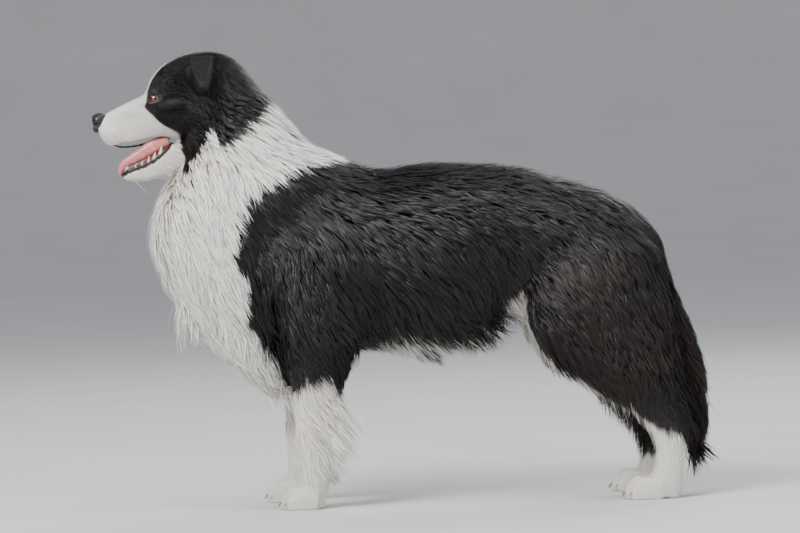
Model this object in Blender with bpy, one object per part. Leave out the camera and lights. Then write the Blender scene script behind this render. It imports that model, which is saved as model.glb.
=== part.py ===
"""A long-coated herding dog standing square, nose towards -X, its left side towards -Y.

Every body part is a sweep of cross-sections. The tables give the outline of the coated dog in
millimetres for a dog of OUTLINE_WITHERS at the shoulder, and WITHERS_HEIGHT scales all of them.
The sweeps are fused by a voxel remesh, smoothed, and parted again with thin cuts.
"""

import math

import bmesh
import bpy
import numpy as np
from mathutils import Matrix, Vector

# Driving dimensions, in metres.
WITHERS_HEIGHT = 0.525       # top of the coat over the shoulder blades
CUT_GAP = 0.0004             # width of each parting cut
VOXEL = 0.0045               # grid on which the sweeps are fused
BODY_TRIANGLES = 5150        # what the fused body is reduced to before it is parted

OUTLINE_WITHERS = 525.0
MM = WITHERS_HEIGHT / OUTLINE_WITHERS
LEAN = 0.028                 # the dog leans back off its toes: shift in X for each unit of height
LEAN_HEIGHT = 360            # height at which the lean moves nothing

LEFT, RIGHT = -1, 1
# How far each foot is set from the square stance, along X.
FORE_STEP = {LEFT: 2, RIGHT: -16}
HIND_STEP = {LEFT: 0, RIGHT: -3}

# Each row of an outline: (upper or front x, z), (lower or back x, z), y of the middle, half width.
TRUNK = (
    ((-300, 430), (-310, 300), 0, 62),    # forechest, under the ruff
    ((-210, 500), (-228, 252), 0, 106),
    ((-120, 531), (-135, 234), 0, 118),   # withers to elbow
    ((-40, 519), (-45, 236), 0, 120),
    ((25, 528), (30, 232), 0, 122),       # deepest rib
    ((95, 525), (95, 248), 0, 118),
    ((172, 518), (150, 284), 0, 106),     # loin and tuck-up
    ((255, 495), (230, 292), 0, 106),
    ((318, 473), (300, 292), 0, 102),     # hips
    ((362, 444), (348, 300), 0, 82),
    ((394, 408), (392, 325), 0, 50),      # root of the tail
)
NECK = (
    ((-262, 655), (-325, 560), 0, 52),    # inside the head
    ((-228, 652), (-352, 520), 0, 76),    # nape to throat
    ((-186, 612), (-386, 474), 0, 98),
    ((-152, 567), (-399, 424), 0, 112),   # ruff at its fullest
    ((-114, 545), (-390, 378), 0, 116),
    ((-76, 531), (-368, 326), 0, 112),
    ((-35, 505), (-326, 268), 0, 98),
    ((0, 470), (-265, 240), 0, 80),       # inside the trunk
)
FRILL = (                                 # hair that hangs from the forechest
    ((-335, 330), (-332, 282), 0, 40),
    ((-292, 335), (-290, 240), 0, 60),
    ((-252, 330), (-252, 198), 0, 62),
    ((-215, 310), (-216, 158), 0, 40),
    ((-180, 290), (-182, 146), 0, 32),
    ((-145, 280), (-150, 190), 0, 24),
)
SKULL = (
    ((-470, 604), (-469, 582), 0, 12),    # behind the nose leather
    ((-459, 610), (-462, 567), 0, 19),
    ((-438, 621), (-441, 558), 0, 24),    # upper lip
    ((-415, 632), (-416, 557), 0, 27.5),
    ((-399, 642), (-390, 564), 0, 33),    # stop
    ((-388, 666), (-368, 566), 0, 44),    # eyes
    ((-368, 686), (-350, 560), 0, 54),    # brow to corner of the mouth
    ((-336, 698), (-330, 546), 0, 62),    # crown to cheek
    ((-297, 703), (-308, 545), 0, 68),
    ((-258, 690), (-288, 550), 0, 68),
    ((-228, 658), (-262, 570), 0, 54),
)
JAW = (
    ((-434, 517), (-431, 509), 0, 8),     # chin
    ((-426, 523), (-421, 505), 0, 15),
    ((-404, 533), (-400, 503), 0, 19),
    ((-381, 547), (-376, 508), 0, 24),
    ((-362, 560), (-352, 512), 0, 31),
    ((-335, 575), (-325, 520), 0, 42),
    ((-308, 590), (-303, 530), 0, 48),
)
FORELEG = (
    ((-205, 380), (-75, 390), 70, 42),    # upper arm
    ((-208, 310), (-62, 315), 74, 43),
    ((-198, 255), (-58, 255), 77, 38),    # elbow
    ((-187, 205), (-66, 200), 78, 31),
    ((-180, 155), (-104, 150), 78, 26),   # forearm
    ((-174, 105), (-116, 102), 77, 23.5),
    ((-170, 76), (-116, 74), 77, 25),     # carpus
    ((-169, 48), (-116, 42), 76, 24),     # pastern
    ((-178, 30), (-120, 14), 76, 25),
    ((-182, 14), (-128, -4), 76, 22),
)
FORE_FEATHER = (                          # fringe down the back of the forearm
    ((-120, 250), (-60, 250), 78, 16),
    ((-118, 190), (-62, 188), 78, 15),
    ((-116, 130), (-64, 126), 78, 14),
    ((-112, 88), (-64, 82), 78, 12),
    ((-100, 60), (-68, 54), 78, 8),
)
HINDLEG = (
    ((246, 418), (356, 412), 50, 34),     # hip
    ((194, 362), (400, 372), 61, 52),     # thigh
    ((170, 300), (420, 312), 64, 57),
    ((196, 236), (432, 256), 68, 52),     # stifle
    ((262, 181), (440, 204), 72, 41),
    ((322, 142), (448, 160), 76, 31),     # gaskin
    ((360, 106), (447, 122), 80, 25),     # hock
    ((374, 76), (434, 84), 82, 22.5),
    ((374, 46), (430, 44), 83, 23),       # rear pastern
    ((364, 28), (426, 16), 84, 25),
    ((358, 12), (420, -4), 84, 23),
)
TAIL = (
    ((352, 408), (388, 410), 0, 18),
    ((364, 388), (401, 384), 0, 28),
    ((376, 338), (417, 330), 0, 34),
    ((390, 285), (440, 280), 0, 39),
    ((402, 230), (459, 228), 0, 43),
    ((410, 176), (472, 172), 0, 41),
    ((416, 128), (476, 132), 0, 35),      # where the tail sweeps out
    ((426, 88), (466, 84), 0, 23),
    ((440, 54), (455, 48), 0, 9),         # tip
)
EAR = (                                   # base, fold, flap and tip
    ((-328, 662), (-282, 664), 44, 10),
    ((-331, 682), (-283, 685), 50, 9.5),
    ((-333, 691), (-286, 693), 58, 9),
    ((-334, 684), (-287, 687), 66, 7.5),
    ((-328, 664), (-289, 666), 71, 6.5),
    ((-319, 646), (-295, 644), 74, 5.5),
    ((-311, 636), (-301, 635), 75, 3.5),
)
TONGUE = (                                # tip over the chin, back along the jaw
    ((-438, 517), (-434, 513), 0, 9),
    ((-436, 529), (-430, 522), 0, 13),
    ((-429, 537), (-424, 526), 0, 15),
    ((-416, 545), (-411, 532), 0, 15.5),
    ((-400, 554), (-395, 539), 0, 16),
    ((-384, 562), (-378, 547), 0, 16),
    ((-366, 571), (-360, 558), 0, 14),
)
NOSE = (
    ((-479, 604), (-477, 597), 0, 6),
    ((-477, 608), (-476, 589), 0, 13),
    ((-470, 611), (-471, 586), 0, 16),
    ((-463, 611), (-463, 590), 0, 15),
)

# The cavity behind the lips, as upper and lower points, and half width.
MOUTH = (
    ((-452, 566), (-440, 520), 0, 17),
    ((-425, 570), (-418, 532), 0, 19),
    ((-400, 574), (-395, 540), 0, 20),
    ((-375, 578), (-370, 552), 0, 19),
    ((-352, 577), (-350, 562), 0, 13),
)

EYE_RADIUS = 10.5
EYE_CENTRE = (-381, 31, 629)

TOES = ((-1.5, 8), (-0.5, 0), (0.5, 0), (1.5, 8))    # place across the foot, and how far back
TOE_PITCH = 12.5
FORE_TOES = (-196, 76)
HIND_TOES = (330, 84)

LOWER_TEETH = (                           # x, z of the gum, y, height, half width
    (-424, 526, 9.5, 11, 3.2),            # canine
    (-399, 531, 13.5, 9, 3.0),
    (-388, 537, 15, 9, 3.6),
    (-379, 544, 17, 9.5, 4.0),
    (-370, 550, 18.5, 14, 4.6),           # carnassial
)

# The parting cuts in the order they are made: the piece that comes off, the piece it comes off,
# a point near the new piece, and the line of the sheet that cuts it, seen from the side.
SHEETS = (
    ("head", "trunk", (-300, 0, 690), 130,
     ((-205, 722), (-346, 527), (-370, 505), (-430, 482))),
    ("lower_jaw", "head", (-400, 0, 508), 75,
     ((-405, 549), (-382, 556), (-362, 563), (-350, 552), (-338, 508))),
    ("neck", "trunk", (-380, 0, 400), 150, ((-62, 575), (-352, 232))),
)

COLOURS = {                               # base colour and roughness
    "black_coat": ((0.012, 0.011, 0.012), 0.5),
    "white_coat": ((0.80, 0.78, 0.74), 0.6),
    "nose_leather": ((0.02, 0.018, 0.02), 0.3),
    "tongue_flesh": ((0.62, 0.21, 0.24), 0.35),
    "eye_glass": ((0.20, 0.08, 0.03), 0.1),
}
PIECE_COLOUR = {
    "neck": "white_coat",
    "lower_jaw": "white_coat",
    "foreleg_left": "white_coat",
    "foreleg_right": "white_coat",
    "nose": "nose_leather",
    "tongue": "tongue_flesh",
    "eye_left": "eye_glass",
    "eye_right": "eye_glass",
}


def clear_scene():
    for old in list(bpy.data.objects):
        bpy.data.objects.remove(old, do_unlink=True)


def new_object(name, mesh, helper=False):
    made = bpy.data.objects.new(name, mesh)
    bpy.context.scene.collection.objects.link(made)
    if helper:
        made.hide_render = True
        made.display_type = "WIRE"
    return made


def put(x, y, z):
    """A point of the outline, in metres, with the lean in it."""
    return Vector((x + LEAN * (z - LEAN_HEIGHT), y, z)) * MM


def evaluated_mesh(obj):
    graph = bpy.context.evaluated_depsgraph_get()
    return bpy.data.meshes.new_from_object(obj.evaluated_get(graph))


def mirrored(outline, side):
    return [(a, b, side * y, w) for a, b, y, w in outline]


def stepped(outline, step, hinge_height):
    """Sets a leg forward or back: nothing at the hinge's height, and the whole step at the floor."""
    moved = []
    for front, back, y, width in outline:
        front_step = step * max(0.0, 1 - max(front[1], 0) / hinge_height)
        back_step = step * max(0.0, 1 - max(back[1], 0) / hinge_height)
        moved.append(((front[0] + front_step, front[1]), (back[0] + back_step, back[1]), y, width))
    return moved


def smooth_rows(outline, per_span):
    """Catmull-Rom curve through the rows of an outline."""
    rows = np.array([(*a, *b, y, w) for a, b, y, w in outline], float)
    padded = np.vstack([2 * rows[0] - rows[1], rows, 2 * rows[-1] - rows[-2]])
    found = []
    for i in range(1, len(padded) - 2):
        p0, p1, p2, p3 = padded[i - 1 : i + 3]
        for t in np.arange(per_span) / per_span:
            curve = 2 * p1 + (p2 - p0) * t + (2 * p0 - 5 * p1 + 4 * p2 - p3) * t**2
            found.append((curve + (3 * p1 - p0 - 3 * p2 + p3) * t**3) / 2)
    found.append(rows[-1])
    return np.array(found)


def add_sweep(shape, outline, sides=24, per_span=4, squareness=2.2):
    """A closed tube through the outline's cross-sections, each a superellipse."""
    rows = smooth_rows(outline, per_span)
    upper = np.stack([rows[:, 0], rows[:, 4], rows[:, 1]], axis=1)
    lower = np.stack([rows[:, 2], rows[:, 4], rows[:, 3]], axis=1)
    middle, reach = (upper + lower) / 2, (upper - lower) / 2
    along = np.gradient(middle, axis=0)
    across = np.cross(along, reach)
    across /= np.linalg.norm(across, axis=1)[:, None]
    across *= np.maximum(rows[:, 5], 1.0)[:, None]
    loops = []
    for centre, up, out in zip(middle, reach, across):
        ring = []
        for k in range(sides):
            turn = 2 * math.pi * k / sides
            c = math.copysign(abs(math.cos(turn)) ** (2 / squareness), math.cos(turn))
            s = math.copysign(abs(math.sin(turn)) ** (2 / squareness), math.sin(turn))
            ring.append(shape.verts.new(put(*(centre + up * s + out * c))))
        loops.append(ring)
    for first, second in zip(loops, loops[1:]):
        for k in range(sides):
            n = (k + 1) % sides
            shape.faces.new((first[k], first[n], second[n], second[k]))
    shape.faces.new(loops[0][::-1])
    shape.faces.new(loops[-1])


def add_egg(shape, centre, radii, turn=0.0, fine=16):
    place = Matrix.Translation(put(*centre)) @ Matrix.Rotation(turn, 4, "Y")
    size = Matrix.Diagonal((radii[0] * MM, radii[1] * MM, radii[2] * MM, 1))
    bmesh.ops.create_uvsphere(shape, u_segments=fine, v_segments=fine // 2, radius=1, matrix=place @ size)


def add_paw(shape, toes, side, step):
    """Four arched toes in front of a pad. They reach below the floor, where they are cut flat."""
    tip, middle = toes
    for across, behind in TOES:
        x = tip + behind + step
        y = side * (middle + across * TOE_PITCH)
        arch = (
            ((x, 12), (x + 2, -3), y, 5.5),
            ((x + 7, 25), (x + 7, -5), y, 7.2),
            ((x + 19, 37), (x + 18, -6), y, 7.8),
            ((x + 34, 36), (x + 33, -6), y, 8.0),
            ((x + 54, 34), (x + 50, -5), y * 0.96 + side * middle * 0.04, 8.0),
        )
        add_sweep(shape, arch, sides=14, per_span=3)
    add_egg(shape, (tip + step + 46, side * middle, 8), (26, 25, 16))


def mesh_of(shape, name):
    bmesh.ops.recalc_face_normals(shape, faces=shape.faces)
    mesh = bpy.data.meshes.new(name)
    shape.to_mesh(mesh)
    shape.free()
    return mesh


def sweep_object(name, outline, helper=False, grow=0.0, **options):
    """One sweep as an object of its own. A helper that is grown leaves a gap where it cuts."""
    shape = bmesh.new()
    add_sweep(shape, outline, **options)
    made = new_object(name, mesh_of(shape, name), helper)
    if grow:
        swell(made, grow)
    return made


def swell(obj, distance):
    modifier = obj.modifiers.new("grow", "DISPLACE")
    modifier.strength = distance
    modifier.mid_level = 0
    obj.data = evaluated_mesh(obj)
    obj.modifiers.clear()


def weigh(obj, name, weight_of):
    """A vertex group whose weights come from each vertex's place in outline millimetres."""
    group = obj.vertex_groups.new(name=name)
    for vertex in obj.data.vertices:
        group.add([vertex.index], weight_of(vertex.co / MM), "REPLACE")


def softness(at):
    """Where the fused forms may flow together: fully on the body, little on the head and the feet."""
    head = min(1.0, max(0.0, (-at.x - 265) / 60)) * min(1.0, max(0.0, (at.z - 490) / 30))
    feet = min(1.0, max(0.0, (70 - at.z) / 30))
    return max(0.12, 1 - 0.88 * max(head, feet))


def coarseness(at):
    """How readily faces are merged: plain flanks first, face and feet last."""
    head = min(1.0, max(0.0, (-at.x - 290) / 60)) * min(1.0, max(0.0, (at.z - 495) / 20))
    feet = min(1.0, max(0.0, (60 - at.z) / 25))
    return 1 - 0.5 * max(head, 0.8 * feet)


def fused_body():
    shape = bmesh.new()
    for outline in (TRUNK, NECK, FRILL, SKULL):
        add_sweep(shape, outline)
    add_sweep(shape, JAW, squareness=3.0)
    for side in (LEFT, RIGHT):
        add_sweep(shape, stepped(mirrored(FORELEG, side), FORE_STEP[side], 300))
        add_sweep(shape, stepped(mirrored(FORE_FEATHER, side), FORE_STEP[side], 300))
        add_sweep(shape, stepped(mirrored(HINDLEG, side), HIND_STEP[side], 300))
        add_paw(shape, FORE_TOES, side, FORE_STEP[side])
        add_paw(shape, HIND_TOES, side, HIND_STEP[side])
        add_egg(shape, (-374, side * 35, 643), (20, 10, 8))          # brow over the eye
        add_egg(shape, (-300, side * 44, 562), (32, 26, 44), 0.4)    # cheek hair
        add_egg(shape, (-268, side * 46, 590), (46, 40, 62), -0.4)   # mane behind the ear
    body = new_object("body", mesh_of(shape, "body"))
    fuse = body.modifiers.new("fuse", "REMESH")
    fuse.mode = "VOXEL"
    fuse.voxel_size = VOXEL
    body.data = evaluated_mesh(body)
    body.modifiers.clear()

    weigh(body, "soft", softness)
    flow = body.modifiers.new("flow", "SMOOTH")
    flow.factor = 0.5
    flow.iterations = 14
    flow.vertex_group = "soft"
    body.data = evaluated_mesh(body)
    body.modifiers.clear()

    weigh(body, "plain", coarseness)
    reduce = body.modifiers.new("reduce", "DECIMATE")
    body.data.calc_loop_triangles()
    reduce.ratio = BODY_TRIANGLES / len(body.data.loop_triangles)
    reduce.vertex_group = "plain"
    reduce.vertex_group_factor = 1.0
    body.data = evaluated_mesh(body)
    body.modifiers.clear()
    return body


def cut_sheet(name, line, half_width):
    """A thin upright sheet right across the dog, drawn as a line in the side outline."""
    shape = bmesh.new()
    rails = [
        [shape.verts.new(put(x, y, z)) for x, z in line] for y in (-half_width, half_width)
    ]
    for i in range(len(line) - 1):
        shape.faces.new((rails[0][i], rails[1][i], rails[1][i + 1], rails[0][i + 1]))
    return thickened(name, shape)


def cut_hull(name, points):
    """A thin shell round a convex region: what is inside it comes off as a piece of its own."""
    shape = bmesh.new()
    for point in points:
        shape.verts.new(put(*point))
    bmesh.ops.convex_hull(shape, input=shape.verts)
    return thickened(name, shape)


def thickened(name, shape):
    sheet = new_object(name, mesh_of(shape, name), helper=True)
    solid = sheet.modifiers.new("thick", "SOLIDIFY")
    solid.thickness = CUT_GAP
    solid.offset = 0
    sheet.data = evaluated_mesh(sheet)
    sheet.modifiers.clear()
    return sheet


def foreleg_region(side):
    inner, outer, far = side * 41, side * 128, side * 170
    return [
        (-208, inner, 238), (-50, inner, 238), (-190, outer, 322), (-64, outer, 322),
        (-236, inner, -30), (-236, far, -30), (-36, inner, -30), (-36, far, -30),
        (-228, far, 200), (-40, far, 200), (-228, inner, 170),
    ]


def hindleg_region(side):
    inner, outer, far = side * 2, side * 132, side * 170
    return [
        (160, inner, 284), (452, inner, 296), (222, outer, 398), (452, outer, 398),
        (130, inner, -30), (500, inner, -30), (130, far, -30), (500, far, -30),
        (140, inner, 240), (140, far, 240), (480, far, 300),
    ]


def cut_away(obj, cutter, operation="DIFFERENCE"):
    cut = obj.modifiers.new(cutter.name, "BOOLEAN")
    cut.object = cutter
    cut.operation = operation
    cut.solver = "EXACT"
    obj.data = evaluated_mesh(obj)
    obj.modifiers.clear()


def floor_block():
    shape = bmesh.new()
    bmesh.ops.create_cube(shape, size=1)
    bmesh.ops.scale(shape, vec=(2, 1, 0.1), verts=shape.verts)
    bmesh.ops.translate(shape, vec=(0, 0, -0.05), verts=shape.verts)
    return new_object("cut_floor", mesh_of(shape, "cut_floor"), helper=True)


def loose_parts(mesh):
    """The separate shells of a mesh, each as a new mesh."""
    shape = bmesh.new()
    shape.from_mesh(mesh)
    unseen = set(shape.verts)
    parts = []
    while unseen:
        island, todo = set(), [unseen.pop()]
        while todo:
            vertex = todo.pop()
            island.add(vertex)
            near = [e.other_vert(vertex) for e in vertex.link_edges]
            fresh = [v for v in near if v in unseen]
            unseen.difference_update(fresh)
            todo.extend(fresh)
        parts.append({v.index for v in island})
    shape.free()
    found = []
    for island in sorted(parts, key=len, reverse=True):
        piece = bmesh.new()
        piece.from_mesh(mesh)
        piece.verts.ensure_lookup_table()
        bmesh.ops.delete(piece, geom=[v for v in piece.verts if v.index not in island], context="VERTS")
        made = bpy.data.meshes.new("part")
        piece.to_mesh(made)
        piece.free()
        found.append(made)
    return found


def split_off(host, name, cutter, place):
    """Cuts one object and makes the shell nearest a place an object of its own."""
    cut_away(host, cutter)
    target = put(*place)
    shells = loose_parts(host.data)
    wanted = min(shells, key=lambda mesh: min((v.co - target).length for v in mesh.vertices))
    shells.remove(wanted)
    host.data = shells[0]
    return new_object(name, wanted)


def part_body(body):
    pieces = {"trunk": body}
    body.name = "trunk"
    cut_away(body, floor_block())
    for name, host, place, half_width, line in SHEETS:
        sheet = cut_sheet("cut_" + name, line, half_width)
        pieces[name] = split_off(pieces[host], name, sheet, place)
    for side, word in ((LEFT, "left"), (RIGHT, "right")):
        for leg, region, x in (("foreleg_", foreleg_region, -150), ("hindleg_", hindleg_region, 400)):
            hull = cut_hull("cut_" + leg + word, region(side))
            pieces[leg + word] = split_off(body, leg + word, hull, (x, side * 78, 60))
    return pieces


def eye(word, side):
    shape = bmesh.new()
    centre = (EYE_CENTRE[0], side * EYE_CENTRE[1], EYE_CENTRE[2])
    add_egg(shape, centre, (EYE_RADIUS,) * 3, fine=14)
    return new_object("eye_" + word, mesh_of(shape, "eye_" + word))


def socket(piece):
    """A copy of a piece, grown by the cut's gap, to take its room out of what it sits in."""
    copy = new_object("room_" + piece.name, piece.data.copy(), helper=True)
    swell(copy, CUT_GAP)
    return copy


def lower_teeth():
    """The teeth that show over the lower lip, each rooted in the jaw."""
    teeth = []
    for x, gum, across, height, width in LOWER_TEETH:
        for side in (LEFT, RIGHT):
            y = side * across
            tip = gum + height
            outline = (
                ((x - width, gum - 9), (x + width, gum - 9), y, width * 0.7),
                ((x - width, gum), (x + width, gum), y, width * 0.7),
                ((x - width * 0.3, tip), (x + width * 0.3, tip), y + side, width * 0.25),
            )
            teeth.append(sweep_object("tooth", outline, helper=True, sides=6, per_span=1))
    return teeth


def centre_on_origin(pieces):
    """Sets the middle of the model's box over the origin. The soles stay at floor level."""
    every = np.array([v.co[:] for piece in pieces for v in piece.data.vertices])
    middle = (every.min(axis=0) + every.max(axis=0)) / 2
    for piece in pieces:
        piece.data.transform(Matrix.Translation((-middle[0], -middle[1], 0)))


def paint(pieces):
    finishes = {}
    for name, (colour, roughness) in COLOURS.items():
        finish = bpy.data.materials.new(name)
        finish.use_nodes = True
        shader = finish.node_tree.nodes["Principled BSDF"]
        shader.inputs["Base Color"].default_value = (*colour, 1)
        shader.inputs["Roughness"].default_value = roughness
        finishes[name] = finish
    for piece in pieces:
        piece.data.shade_smooth()
        piece.data.materials.clear()
        piece.data.materials.append(finishes[PIECE_COLOUR.get(piece.name, "black_coat")])


def main():
    clear_scene()
    body = fused_body()
    pieces = part_body(body)
    pieces["tail"] = sweep_object("tail", TAIL, sides=14, per_span=2)
    pieces["nose"] = sweep_object("nose", NOSE, sides=14, per_span=2)
    pieces["tongue"] = sweep_object("tongue", TONGUE, sides=12, per_span=2)
    for side, word in ((LEFT, "left"), (RIGHT, "right")):
        outline = mirrored(EAR, side)
        pieces["ear_" + word] = sweep_object("ear_" + word, outline, sides=10, per_span=2)
        pieces["eye_" + word] = eye(word, side)

    hollow = sweep_object("cut_mouth", MOUTH, helper=True, sides=16, per_span=2)
    cut_away(pieces["head"], hollow)
    cut_away(pieces["lower_jaw"], hollow)
    for side in (LEFT, RIGHT):
        shape = bmesh.new()
        add_egg(shape, (-391, side * 45, 629), (14, 11, 8), fine=12)
        cut_away(pieces["head"], new_object("cut_lids", mesh_of(shape, "cut_lids"), helper=True))
    for tooth in lower_teeth():
        cut_away(pieces["head"], socket(tooth))
        cut_away(pieces["lower_jaw"], tooth, "UNION")

    takes_room = {
        "nose": ("head",),
        "tongue": ("head", "lower_jaw"),
        "eye_left": ("head",),
        "eye_right": ("head",),
        "ear_left": ("head", "neck"),
        "ear_right": ("head", "neck"),
        "tail": ("trunk", "hindleg_left", "hindleg_right"),
    }
    for name, hosts in takes_room.items():
        room = socket(pieces[name])
        for host in hosts:
            cut_away(pieces[host], room)

    for piece in pieces.values():
        piece.data = loose_parts(piece.data)[0]    # without any crumb a cutter left behind
    centre_on_origin(list(pieces.values()))
    paint(list(pieces.values()))


main()
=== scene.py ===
import math

import bmesh
import bpy
import numpy as np
from bpy.props import FloatProperty, FloatVectorProperty, IntProperty, PointerProperty
from mathutils import Matrix, Vector
from mathutils.bvhtree import BVHTree
from mathutils.kdtree import KDTree


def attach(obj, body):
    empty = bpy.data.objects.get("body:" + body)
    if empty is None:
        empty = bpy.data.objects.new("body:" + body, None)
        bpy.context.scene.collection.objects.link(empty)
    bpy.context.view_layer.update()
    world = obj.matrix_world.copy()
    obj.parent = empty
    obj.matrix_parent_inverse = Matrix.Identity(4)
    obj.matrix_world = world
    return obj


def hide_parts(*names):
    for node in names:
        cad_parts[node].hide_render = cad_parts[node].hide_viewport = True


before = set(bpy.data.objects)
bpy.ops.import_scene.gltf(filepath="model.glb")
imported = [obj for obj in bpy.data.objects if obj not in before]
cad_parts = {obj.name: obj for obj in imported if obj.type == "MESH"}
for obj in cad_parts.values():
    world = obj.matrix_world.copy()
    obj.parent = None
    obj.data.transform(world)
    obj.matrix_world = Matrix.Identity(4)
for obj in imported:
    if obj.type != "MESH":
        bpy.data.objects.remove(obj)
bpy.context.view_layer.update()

bl_info = {
    "name": "Long-coated herding dog",
    "version": (1, 0, 0),
    "blender": (4, 5, 0),
    "location": "View3D > Sidebar > Dog",
    "description": "Skin, combed coat, face and studio for a standing herding dog",
    "category": "Object",
}

# ---------------------------------------------------------------- the outline
#
# The tables are in the outline's own millimetres, for a dog of OUTLINE_WITHERS at the shoulder.
# A row is a cross-section: (upper or front x, z), (lower or back x, z), y of the middle,
# half width, and then how deep the coat is over the upper point, the lower point and the sides.

OUTLINE_WITHERS = 525.0
MM = 0.525 / OUTLINE_WITHERS
LEAN = 0.028                 # the dog leans back off its toes: shift in X for each unit of height
LEAN_HEIGHT = 360
CENTRE_SHIFT = 0.0016        # sets the middle of the dog's box over the origin
LEFT, RIGHT = SIDES = (-1, 1)
MARKS = {LEFT: "left", RIGHT: "right"}
FULL_TURN = 2 * math.pi
FORE_STEP = {LEFT: 2, RIGHT: -16}
HIND_STEP = {LEFT: 0, RIGHT: -3}
STEP_HINGE = 300             # the height at which a leg stops following its foot's step

TRUNK = (
    ((-300, 430), (-310, 300), 0, 62, 30, 30, 22),
    ((-210, 500), (-228, 252), 0, 106, 20, 34, 24),
    ((-120, 531), (-135, 234), 0, 118, 17, 24, 22),
    ((-40, 519), (-45, 236), 0, 120, 16, 22, 20),
    ((25, 528), (30, 232), 0, 122, 16, 22, 20),
    ((95, 525), (95, 248), 0, 118, 16, 22, 20),
    ((172, 518), (150, 284), 0, 106, 16, 20, 18),
    ((255, 495), (230, 292), 0, 106, 16, 18, 18),
    ((318, 473), (300, 292), 0, 102, 16, 18, 18),
    ((362, 444), (348, 300), 0, 82, 16, 18, 18),
    ((394, 408), (392, 325), 0, 50, 16, 18, 16),
)
NECK = (
    ((-262, 655), (-325, 560), 0, 52, 10, 10, 8),
    ((-228, 652), (-352, 520), 0, 76, 14, 20, 18),
    ((-186, 612), (-386, 474), 0, 98, 18, 30, 22),
    ((-152, 567), (-399, 424), 0, 112, 20, 34, 25),
    ((-114, 545), (-390, 378), 0, 116, 20, 34, 25),
    ((-76, 531), (-368, 326), 0, 112, 18, 34, 23),
    ((-35, 505), (-326, 268), 0, 98, 16, 32, 22),
    ((0, 470), (-265, 240), 0, 80, 14, 30, 20),
)
FRILL = (
    ((-335, 330), (-332, 282), 0, 40, 6, 24, 14),
    ((-292, 335), (-290, 240), 0, 60, 10, 34, 24),
    ((-252, 330), (-252, 198), 0, 62, 10, 38, 26),
    ((-215, 310), (-216, 158), 0, 40, 10, 40, 20),
    ((-180, 290), (-182, 146), 0, 32, 10, 50, 20),
    ((-145, 280), (-150, 190), 0, 24, 10, 30, 12),
)
SKULL = (
    ((-470, 604), (-469, 582), 0, 12, 1, 1, 1),
    ((-459, 610), (-462, 567), 0, 19, 1.5, 2, 1.5),
    ((-438, 621), (-441, 558), 0, 24, 2, 2.5, 2),
    ((-415, 632), (-416, 557), 0, 27.5, 2.5, 3, 2.5),
    ((-399, 642), (-390, 564), 0, 33, 3, 3, 3),
    ((-388, 666), (-368, 566), 0, 44, 4, 4, 5),
    ((-368, 686), (-350, 560), 0, 54, 5, 8, 8),
    ((-336, 698), (-330, 546), 0, 62, 6, 12, 12),
    ((-297, 703), (-308, 545), 0, 68, 8, 12, 14),
    ((-258, 690), (-288, 550), 0, 68, 11, 12, 16),
    ((-228, 658), (-262, 570), 0, 54, 14, 12, 14),
)
JAW = (
    ((-434, 517), (-431, 509), 0, 8, 1, 1.5, 1),
    ((-426, 523), (-421, 505), 0, 15, 1, 2, 1.5),
    ((-404, 533), (-400, 503), 0, 19, 1, 2.5, 2),
    ((-381, 547), (-376, 508), 0, 24, 1, 3, 3),
    ((-362, 560), (-352, 512), 0, 31, 1, 4, 4),
    ((-335, 575), (-325, 520), 0, 42, 4, 6, 8),
    ((-308, 590), (-303, 530), 0, 48, 6, 8, 10),
)
FORELEG = (
    ((-205, 380), (-75, 390), 70, 42, 10, 10, 12),
    ((-208, 310), (-62, 315), 74, 43, 14, 16, 14),
    ((-198, 255), (-58, 255), 77, 38, 12, 26, 14),
    ((-187, 205), (-66, 200), 78, 31, 8, 46, 10),
    ((-180, 155), (-104, 150), 78, 26, 6, 18, 8),
    ((-174, 105), (-116, 102), 77, 23.5, 5, 9, 6),
    ((-170, 76), (-116, 74), 77, 25, 4, 7, 5),
    ((-169, 48), (-116, 42), 76, 24, 4, 8, 5),
    ((-178, 30), (-120, 14), 76, 25, 4, 6, 4),
    ((-182, 14), (-128, -4), 76, 22, 3, 4, 3),
)
HINDLEG = (
    ((246, 418), (356, 412), 50, 34, 12, 12, 12),
    ((194, 362), (400, 372), 61, 52, 14, 22, 16),
    ((170, 300), (420, 312), 64, 57, 14, 27, 17),
    ((196, 236), (432, 256), 68, 52, 14, 33, 17),
    ((262, 181), (440, 204), 72, 41, 12, 34, 14),
    ((322, 142), (448, 160), 76, 31, 10, 30, 11),
    ((360, 106), (447, 122), 80, 25, 8, 20, 8),
    ((374, 76), (434, 84), 82, 22.5, 6, 8, 5),
    ((374, 46), (430, 44), 83, 23, 4, 7, 5),
    ((364, 28), (426, 16), 84, 25, 4, 6, 4),
    ((358, 12), (420, -4), 84, 23, 3, 4, 3),
)
TAIL = (
    ((352, 408), (388, 410), 0, 18, 4, 6, 6),
    ((364, 388), (401, 384), 0, 28, 6, 9, 10),
    ((376, 338), (417, 330), 0, 34, 6, 11, 14),
    ((390, 285), (440, 280), 0, 39, 8, 14, 17),
    ((402, 230), (459, 228), 0, 43, 10, 16, 20),
    ((410, 176), (472, 172), 0, 41, 10, 19, 20),
    ((416, 128), (476, 132), 0, 35, 12, 22, 18),
    ((426, 88), (466, 84), 0, 23, 10, 16, 13),
)
EAR = (
    ((-328, 662), (-282, 664), 44, 10, 4, 4, 6.5),
    ((-331, 682), (-283, 682), 50, 9.5, 4, 6, 6.5),
    ((-332, 691), (-288, 690), 58, 9, 5, 8, 6.3),
    ((-334, 684), (-287, 684), 66, 7.5, 4, 7, 5),
    ((-328, 664), (-289, 666), 71, 6.5, 4, 4, 4.3),
    ((-319, 646), (-295, 644), 74, 5.5, 3, 3, 3.5),
    ((-311, 638), (-301, 637), 75, 3.5, 1, 1, 1.8),
)
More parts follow.
